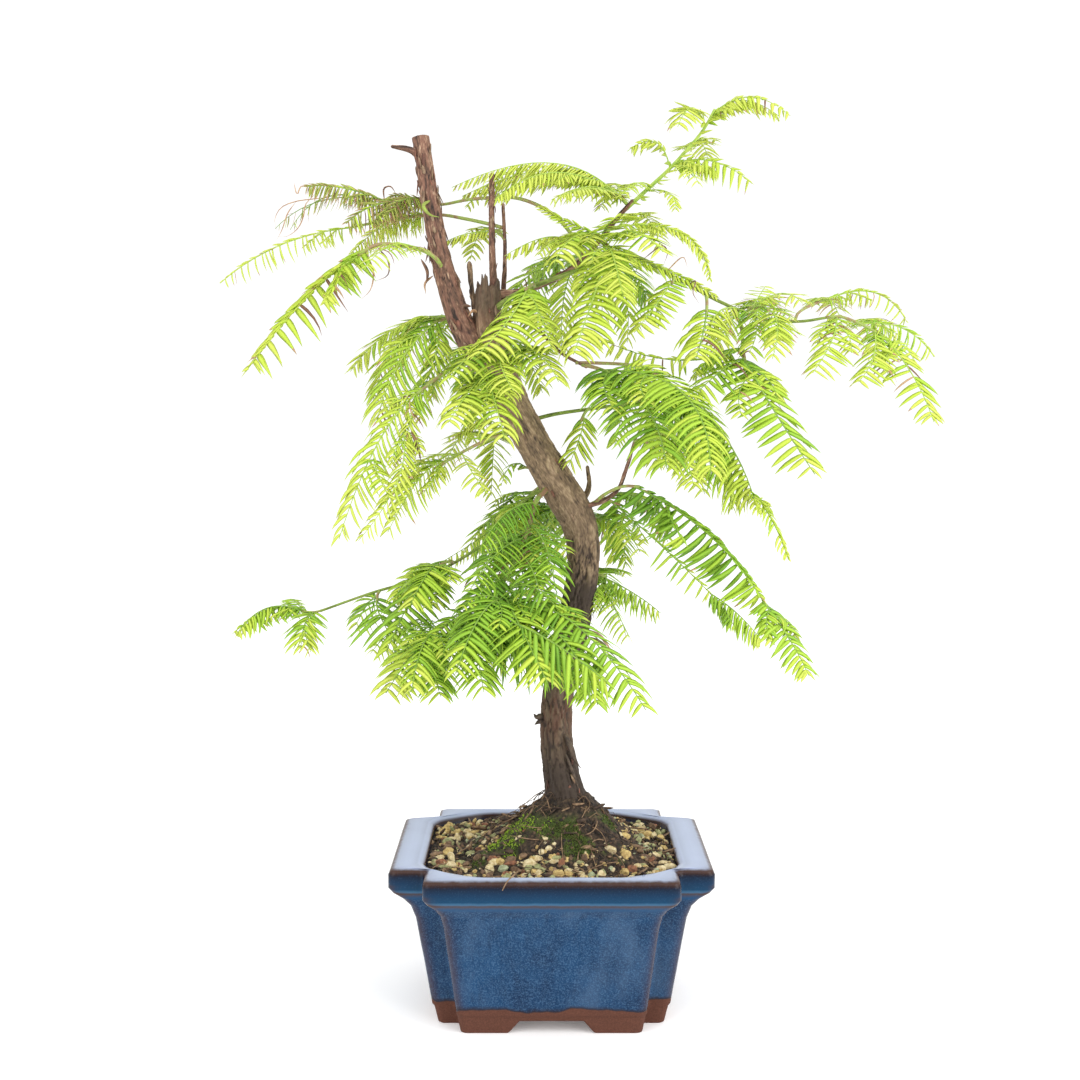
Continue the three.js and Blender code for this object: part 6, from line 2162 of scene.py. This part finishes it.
@dataclass
class Foliage:
    """Twigs and needles of every mass, grown by the frame's rule and carried on to single needles.

    Args:
        pitch: spacing of needles along a shoot.
        width: full width of the longest needles.
        long_shoot: length from which a shoot carries side shoots.
        masses: the masses to grow.
    """

    pitch: float = 2.85
    width: float = 1.92
    long_shoot: float = 34
    masses: tuple[Mass, ...] = MASSES

    @staticmethod
    def on_shoot(line: Array, t: Array) -> tuple[Array, Array]:
        """Places and headings on a shoot: a quadratic curve pulled so that it passes its crest half way.

        Args:
            line: its root, crest and tip.
            t: shares of the way along it.

        Returns:
            Places and unit headings, one of each for each share.
        """
        root, crest, tip = line
        pull = 2 * crest - (root + tip) / 2
        t = t[:, None]
        at = root * (1 - t) ** 2 + pull * 2 * t * (1 - t) + tip * t**2
        return at, unit((pull - root) * (1 - t) + (tip - pull) * t)

    @staticmethod
    def needle_ways(along: Array, side: Array, fold: Array, angle: Array) -> Array:
        """Ways that needles point: forward by the angle's cosine and out by its sine.

        Args:
            along: headings of the shoot.
            side: ways to the needle's side of it.
            fold: how far out is turned from level (0) to straight down (a right angle).
            angle: how far the needles stand off the shoot.

        Returns:
            A unit way for each needle.
        """
        level = unit(side * (1, 1, 0.25))
        below = square(np.array(DOWN), along)
        out = level * np.cos(fold)[:, None] + below * np.sin(fold)[:, None]
        return unit(along * np.cos(angle)[:, None] + out * np.sin(angle)[:, None])

    def needles(self, spray: Spray, mass: Mass, number: int) -> Blades:
        """Two ranks of needles, longest near mid shoot, and short ones that hug it.

        Each needle's tip stands off the shoot by its habit's angle, a third less at the shoot's end, and its
        middle line is a curve that turns towards the shoot's end by its habit's bow.

        Args:
            spray: the shoot.
            mass: the mass that it belongs to.
            number: the shoot's own number, which settles its tints and irregularities.

        Returns:
            The needles, not yet a shell.
        """
        habit = spray.habit
        pitch = self.pitch * habit.spacing * (0.62 + 0.38 * min(spray.needle / 14, 1.3))
        count = max(6, int(span(spray.line) / pitch))
        more = int(count * habit.hug)
        pairs = np.repeat((np.arange(count) + 0.5) / count, 2)
        t = 0.985 * np.concatenate([pairs, (np.arange(more) + 0.5) / max(more, 1)])
        rank = np.tile((1.0, -1.0), len(t))[:len(t)]
        hugs = np.arange(len(t)) >= 2 * count
        key = 17 * number + np.arange(len(t))
        loss = np.where((rank < 0) & ~hugs, 1 - habit.second * (1 - habit.loss), habit.loss)
        kept = (vary(59 * key + 11) + 1) / 2 >= loss * (1 - ease(0.8, 1, t))
        t, rank, hugs, key = t[kept], rank[kept], hugs[kept], key[kept]
        at, along = self.on_shoot(spray.line, np.clip(t + 0.32 * vary(key * 5) / count, 0, 1))
        side = unit(np.cross(along, spray.lay.face)) * rank[:, None]
        upper = (1 + np.clip(2 * side[:, 2], -1, 1) * math.cos(spray.lay.fold)) / 2
        open_angle = blend(*habit.angles, upper) * (1 - 0.32 * t) * (1 + 0.09 * vary(3 * key))
        angle = np.radians(np.where(hugs, 15 + 8 * vary(47 * key), open_angle))
        fold = np.where(hugs, -0.9 + 0.8 * vary(53 * key), spray.lay.fold + 0.2 * vary(41 * key))
        dried = (vary(7 * key + 3) + 1) / 2 < mass.dry
        sag = np.where(hugs, 0, habit.sag + 0.08 * vary(11 * key) + 0.3 * dried)[:, None]
        chord = unit(self.needle_ways(along, side, fold, angle) + 0.4 * sag * DOWN)
        own = 0.07 * vary(np.where(rank > 0, 61, 67) * number) + 0.06 * vary(13 * key)
        bow = np.where(hugs, 0.12, blend(*habit.bows, upper) + own)
        bends = square(along, chord) * bow[:, None] + sag * DOWN
        bends = bends + 0.3 * dried[:, None] * np.stack([vary(k * key) for k in (71, 73, 79)], axis=-1)
        roll = 0.4 * vary(19 * key) + 0.2 * vary(83 * number) + habit.edge * (1 - upper)
        across = along + roll[:, None] * np.cross(chord, along)
        reach = spray.needle * (0.42 + 0.58 * np.sin(math.pi * (0.12 + 0.8 * t))) * (1 + 0.13 * vary(key))
        reach = reach * (1 - 0.3 * ease(0.85, 1, t)) * np.where(hugs, habit.cling, 1)
        width = self.width * habit.broad * (0.6 + 0.4 * min(spray.needle / 16, 1.1)) * (1 - 0.5 * dried)
        width = width * (1 + 0.12 * vary(89 * key)) * np.where(hugs, 0.8, 1) * (1 - 0.25 * ease(0.8, 1, t))
        tint, tips = self.tints(mass, spray.young, number, key, t, dried)
        profile = TOOTH if habit.tooth else NEEDLE
        return Blades(at, chord - bends, across, reach, width, bends, tint, tips, thick=0.24, profile=profile)

    @staticmethod
    def tints(mass: Mass, young: int, number: int, key: Array, t: Array, dried: Array) -> tuple[Array, Array]:
        """Tint of each needle and of its tip.

        A shoot takes its mass's tint or a neighbour of it, darker at its foot and lighter towards its tip,
        partly as older and younger growth and partly as painted shade and painted light; one needle in five
        strays by one step, and dried needles are brown.

        Args:
            mass: the mass.
            young: steps that the shoot is younger by.
            number: the shoot's own number.
            key: each needle's own number.
            t: its share of the way along the shoot.
            dried: whether it has dried.

        Returns:
            Places in LEAF_TINTS: one for each needle and one for its tip.
        """
        stray = np.where(vary(23 * key) > 0.8, 1, 0) - np.where(vary(31 * key) > 0.8, 1, 0)
        if mass.tint is Tint.OLIVE:
            fresh = np.where(stray == 0, Tint.OLIVE.value, Tint.SPRING.value)
        else:
            base = mass.tint.value - young + round(0.7 * float(vary(29 * number)))
            # One step darker at the shoot's foot and lighter at its tip: partly growth, partly painted shade
            # and painted light.
            age_and_light = np.where(t < 0.17, 1, 0) - np.where(t > 0.73, 1, 0) - np.where(t > 0.9, 1, 0)
            fresh = LADDER[np.clip(base + stray + age_and_light, 0, 4)]
        tint = np.where(dried, Tint.DRIED.value + (key % 2), fresh)
        tip_dry = (vary(37 * key) + 1) / 2 < 2.2 * mass.dry
        return tint, np.where(tip_dry, Tint.DRIED.value, tint)

    def shoot(self, spray: Spray) -> tuple[Array, Array, Array]:
        """Stations, side ways and radii of one shoot's own twig, thinning to its tip.

        Args:
            spray: the shoot.

        Returns:
            Fifteen of each, from its root to its tip.
        """
        t = np.linspace(0, 1, 15)
        at, along = self.on_shoot(spray.line, t)
        return at, unit(np.cross(along, spray.lay.face)), (0.24 + 0.015 * spray.needle) * (1 - 0.62 * t)

    def side_shoots(self, spray: Spray, number: int, count: int) -> list[Spray]:
        """Short shoots on the first half of a long one, with needles half as long.

        Args:
            spray: the long shoot.
            number: its own number.
            count: how many it carries.

        Returns:
            The short shoots; none where the long one is too short for them.
        """
        if span(spray.line) < self.long_shoot:
            return []
        made = []
        for k in range(count):
            at, along = self.on_shoot(spray.line, np.array([0.1 + 0.11 * k + 0.03 * float(vary(number + k))]))
            side = unit(np.cross(along, spray.lay.face)) * (1 if (number + k) % 2 else -1)
            angle = np.radians([48 + 8 * float(vary(number * 3 + k))])
            out = self.needle_ways(along, side, np.array([0.4 * spray.lay.fold]), angle)
            reach = 0.9 * spray.needle + 4
            end = at + reach * unit(0.8 * out + 0.35 * along + (0, 0, -0.25))
            root, crest, tip = (tuple(point[0]) for point in (at, at + 0.5 * reach * out, end))
            made.append(replace(spray, root=root, crest=crest, tip=tip, needle=0.48 * spray.needle + 1.5))
        return made

    def stem(self, mass: Mass) -> Shell:
        """The mass's own stem as a round tapering twig.

        Args:
            mass: the mass.

        Returns:
            The twig as one shell.
        """
        steps = max(6, int(span(mass.stem) / 2.5))
        at, along = way(mass.stem, steps)
        radii = np.linspace(*mass.thick, steps + 1)
        tone = 1 if mass.region is Region.CROWN else 2
        return tubes(at[None], side_ways(along)[None], radii[None], 8, tone)

    def grow(self, mass: Mass, index: int) -> tuple[list[Shell], list[Shell]]:
        """Shells of a mass's needles and of its twigs.

        Args:
            mass: the mass.
            index: its place in the table, which settles its shoots' own numbers.

        Returns:
            The shells of needles, one for each shoot, and the shells of twigs.
        """
        sprays = [(spray, 3 + 7 * index + 5 * k) for k, spray in enumerate(mass.sprays)]
        sprays += [
            (one, number + 200 + 13 * k)
            for spray, number in list(sprays)
            for k, one in enumerate(self.side_shoots(spray, number, mass.side_shoots))
        ]
        sprays += [(spray, 5 + 11 * index + 3 * k) for k, spray in enumerate(mass.extra)]
        needles = [self.needles(spray, mass, number).shell() for spray, number in sprays]
        tone = 1 if mass.tint in (Tint.LIME, Tint.SPRING) else 0
        at, side, radii = (np.array(part) for part in zip(*(self.shoot(spray) for spray, _ in sprays)))
        return needles, [self.stem(mass), tubes(at, side, radii, 5, tone)]

    def build(self) -> None:
        """Makes one piece of needles and one of twigs for each region."""
        leaf = [tint.make() for tint in LEAF_TINTS]
        shoot = [stem.make() for stem in STEM_FINISHES]
        for region in Region:
            needles, twigs, names = [], [], []
            for index, mass in enumerate(self.masses):
                if mass.region is region:
                    more_needles, more_twigs = self.grow(mass, index)
                    needles += more_needles
                    twigs += more_twigs
                    names.append(mass.name)
            make_piece(f"needles_{region.value}", Shell.joined(needles), leaf, names)
            make_piece(f"twigs_{region.value}", Shell.joined(twigs), shoot)


@dataclass(frozen=True)
class Studio:
    """Pale floor, soft light and camera.

    Args:
        offset: camera's place from the pot's origin, in metres.
        pitch: how far the camera looks down, in degrees.
        lens: focal length for a 36 mm frame.
        softboxes: name, place from the pot's origin in metres, and power of each square light.
        softbox_size: side of each, in metres.
        aim: place that they look at.
        surround: strength of the even white light from all round.
        floor_half: half the floor's side, in metres.
        pale: colour of the floor.
    """

    offset: Triple = (-0.0053, -0.680, 0.288)
    pitch: float = 5.4
    lens: float = 47.8
    softboxes: tuple[tuple[str, Triple, float], ...] = (
        ("softbox_right", (1.1, -0.8, 0.9), 15), ("softbox_left", (-1.0, -0.9, 0.9), 7),
    )
    softbox_size: float = 1.2
    aim: Triple = (0, 0, 0.2)
    surround: float = 1.08
    floor_half: float = 6
    pale: Colour = (0.96, 0.96, 0.96)

    def camera(self) -> None:
        """Camera in front of the pot, a little above the middle."""
        data = bpy.data.cameras.new("camera")
        data.lens = self.lens
        data.sensor_width = 36
        camera = bpy.data.objects.new("camera", data)
        camera.location = ORIGIN + np.array(self.offset)
        camera.rotation_euler = (math.radians(90 - self.pitch), 0, 0)
        bpy.context.scene.collection.objects.link(camera)
        bpy.context.scene.camera = camera

    def softbox(self, name: str, place: Triple, power: float) -> None:
        """Square area light at a place from the pot's origin, turned to the aim.

        Args:
            name: the light's name.
            place: its middle, from the pot's origin.
            power: its strength in watts.
        """
        data = bpy.data.lights.new(name, "AREA")
        data.size = self.softbox_size
        data.energy = power
        light = bpy.data.objects.new(name, data)
        start = np.array(place)
        light.location = ORIGIN + start
        light.rotation_euler = Vector(self.aim - start).to_track_quat("-Z", "Y").to_euler()
        bpy.context.scene.collection.objects.link(light)

    def floor(self) -> None:
        """Square floor at the pot's feet, not part of the object."""
        half = self.floor_half
        mesh = bpy.data.meshes.new("floor")
        corners = [(-half, -half, 0), (half, -half, 0), (half, half, 0), (-half, half, 0)]
        mesh.from_pydata(corners, [], [(0, 1, 2, 3)])
        finish = Shader("floor_pale").surface(
            Base_Color=self.pale, Roughness=0.95, Emission_Color=self.pale, Emission_Strength=0.14)
        mesh.materials.append(finish)
        plane = bpy.data.objects.new("floor", mesh)
        bpy.context.scene.collection.objects.link(plane)

    def build(self) -> None:
        """Makes the camera, the floor, the even white surroundings and the softboxes."""
        self.camera()
        self.floor()
        world = bpy.data.worlds.new("surroundings")
        world.use_nodes = True
        background = world.node_tree.nodes["Background"]
        background.inputs["Color"].default_value = (1, 1, 1, 1)
        background.inputs["Strength"].default_value = self.surround
        bpy.context.scene.world = world
        bpy.context.scene.view_settings.view_transform = "Standard"
        for softbox in self.softboxes:
            self.softbox(*softbox)


@dataclass(frozen=True)
class Stray:
    """A dry thread, a rolled dead leaf or a raised bit of bark.

    Args:
        points: points that its middle passes.
        radius: its largest radius.
        finish: number of its finish: tan, brown, green or bark.
    """

    points: tuple[Triple, ...]
    radius: float = 0.3
    finish: int = 0


STRAYS = (
    Stray(((-122.7, 17, 393.3), (-121.2, 17, 387.9), (-119.2, 17, 391.6), (-112, 17.5, 391))),
    Stray((
        (-106, 20, 387), (-114.9, 22, 386.3), (-123.1, 23, 385.3), (-130.3, 23, 382.2), (-133.5, 24, 376.3),
        (-132.4, 24, 371.6),
    )),
    Stray((
        (-113, 18, 388), (-118, 20, 383.1), (-118.6, 20, 378.9), (-121.7, 21, 372.5), (-127.8, 22, 368.5),
        (-131.4, 22, 368.7),
    )),
    Stray(((-123, 23, 385), (-127, 24, 380), (-130, 24, 372), (-133, 25, 367))),
    Stray(((-86, -12.6, 359), (-82.4, -8, 349.1), (-84.2, -6, 340.8), (-88.4, -6, 336.7)), 0.4),
    Stray(((-81, -12, 361), (-75.6, -6, 353.9), (-76.2, -4, 347.9), (-82.1, -4, 345.1)), 0.4, 1),
    Stray(((-80, 20.4, 385.4), (-80, 20, 391.1), (-77, 20, 392), (-74, 19, 388)), 0.45, 1),
    Stray(((-76.4, 21, 385.6), (-72.1, 21, 384.3), (-68.8, 21, 380.5), (-67.4, 21, 375.8)), 0.6, 1),
    Stray(((-62, 12, 357), (-58.8, 9, 351), (-58.8, 8, 347.1), (-60.3, 8, 342.9)), 0.8, 1),
    Stray(((-56, 10, 349), (-59.8, 8, 345), (-59.4, 8, 340)), 0.6),
    Stray(((-56.5, 8, 384), (-60, 4, 380.7), (-56.9, 3, 376.5), (-52.7, 5, 375.6)), 0.9, 2),
    Stray(((-64.5, -20, 275.8), (-61.8, -20, 269.9), (-60, -20, 261.6)), 0.9, 1),
    Stray(((-61.4, -19, 273.5), (-63.3, -19, 267.1), (-62.4, -19, 263)), 0.7, 0),
    Stray(((-37.5, 1.5, 334), (-41.6, -2, 333.6), (-41.2, -3, 329)), 0.9, 1),
    Stray(((-34.5, 2, 331), (-36.8, -1, 331.7), (-38.9, -3, 328.9)), 0.8, 0),
    Stray(((18, -3, 181), (24, -8, 178), (28.8, -8, 171.2)), 0.9, 0),
    Stray(((17, -4, 178), (25.5, -8, 174), (27.4, -8, 169.7)), 1, 1),
    Stray(((-8, -9.5, 241), (-9.5, -12, 233.8), (-10.9, -12, 230)), 1, 1),
    Stray(((-14, -14, 223), (-10.4, -14, 215.7), (-9, -14, 211.9)), 0.9, 1),
    Stray(((42, -11, 354.5), (50.9, -16, 360.1), (52.7, -18, 356.8), (51, -18, 351.3)), 0.35, 1),
    Stray(((63, -12, 343), (65.6, -18, 343.9), (64.3, -20, 338.5), (67, -20, 334)), 0.35, 1),
    Stray(((52.5, -12, 348.5), (60, -17, 354.8), (61.8, -18, 350.3)), 0.35, 0),
    Stray(((-3.5, -2, 139.5), (-6.9, -4, 139), (-8.4, -4, 140.6)), 1.5, 3),
    Stray(((-4, -2, 137), (-6.8, -4, 136), (-8, -4, 135)), 1.1, 3),
    Stray(((6.5, -5.5, 131), (9.6, -6.5, 124), (11.6, -6.5, 118.5), (14.2, -6.5, 114.5)), 1.5, 3),
    Stray(((7, -7.5, 122), (10.2, -7, 113), (13.4, -6.5, 104)), 0.8, 3),
)


@dataclass
class LooseBits:
    """Dry threads and dead leaves caught on the plant, and a nub and two flaps of the trunk's bark.

    Args:
        strays: all of them.
        steps: number of even lengths along each.
    """

    strays: tuple[Stray, ...] = STRAYS
    steps: int = 14

    def build(self) -> None:
        """Makes them in one piece: tubes thickest at two fifths, drawn in to a point at both ends."""
        share = np.linspace(0, 1, self.steps + 1)
        swell = np.clip(np.sin(math.pi * share**0.75), 0.12, 1)
        shells = []
        for stray in self.strays:
            middles = way(stray.points, self.steps)[0][None]
            sides = np.broadcast_to((0.3, 1.0, 0.2), middles.shape)
            shells.append(tubes(middles, sides, stray.radius * swell[None], 6, stray.finish))
        finishes = [
            StoneFinish("stray_tan", (0.52, 0.34, 0.2), (0.36, 0.2, 0.11), scale=300).make(),
            StoneFinish("stray_brown", (0.27, 0.15, 0.09), (0.13, 0.07, 0.05), scale=300).make(),
            StoneFinish("stray_green", (0.34, 0.46, 0.08), (0.25, 0.3, 0.06), scale=300).make(),
            StoneFinish("stray_bark", (0.12, 0.085, 0.06), (0.05, 0.035, 0.025), scale=300).make(),
        ]
        make_piece("loose_bits", Shell.joined(shells), finishes)


def main() -> None:
    """Builds the studio and every part in order."""
    logging.basicConfig(level=logging.INFO, format="%(name)s %(message)s")
    Studio().build()
    pot = Pot()
    pot.build()
    SoilBed(pot).build()
    BarkWork().build()
    Foliage().build()
    LooseBits().build()


if __name__ == "__main__":
    main()
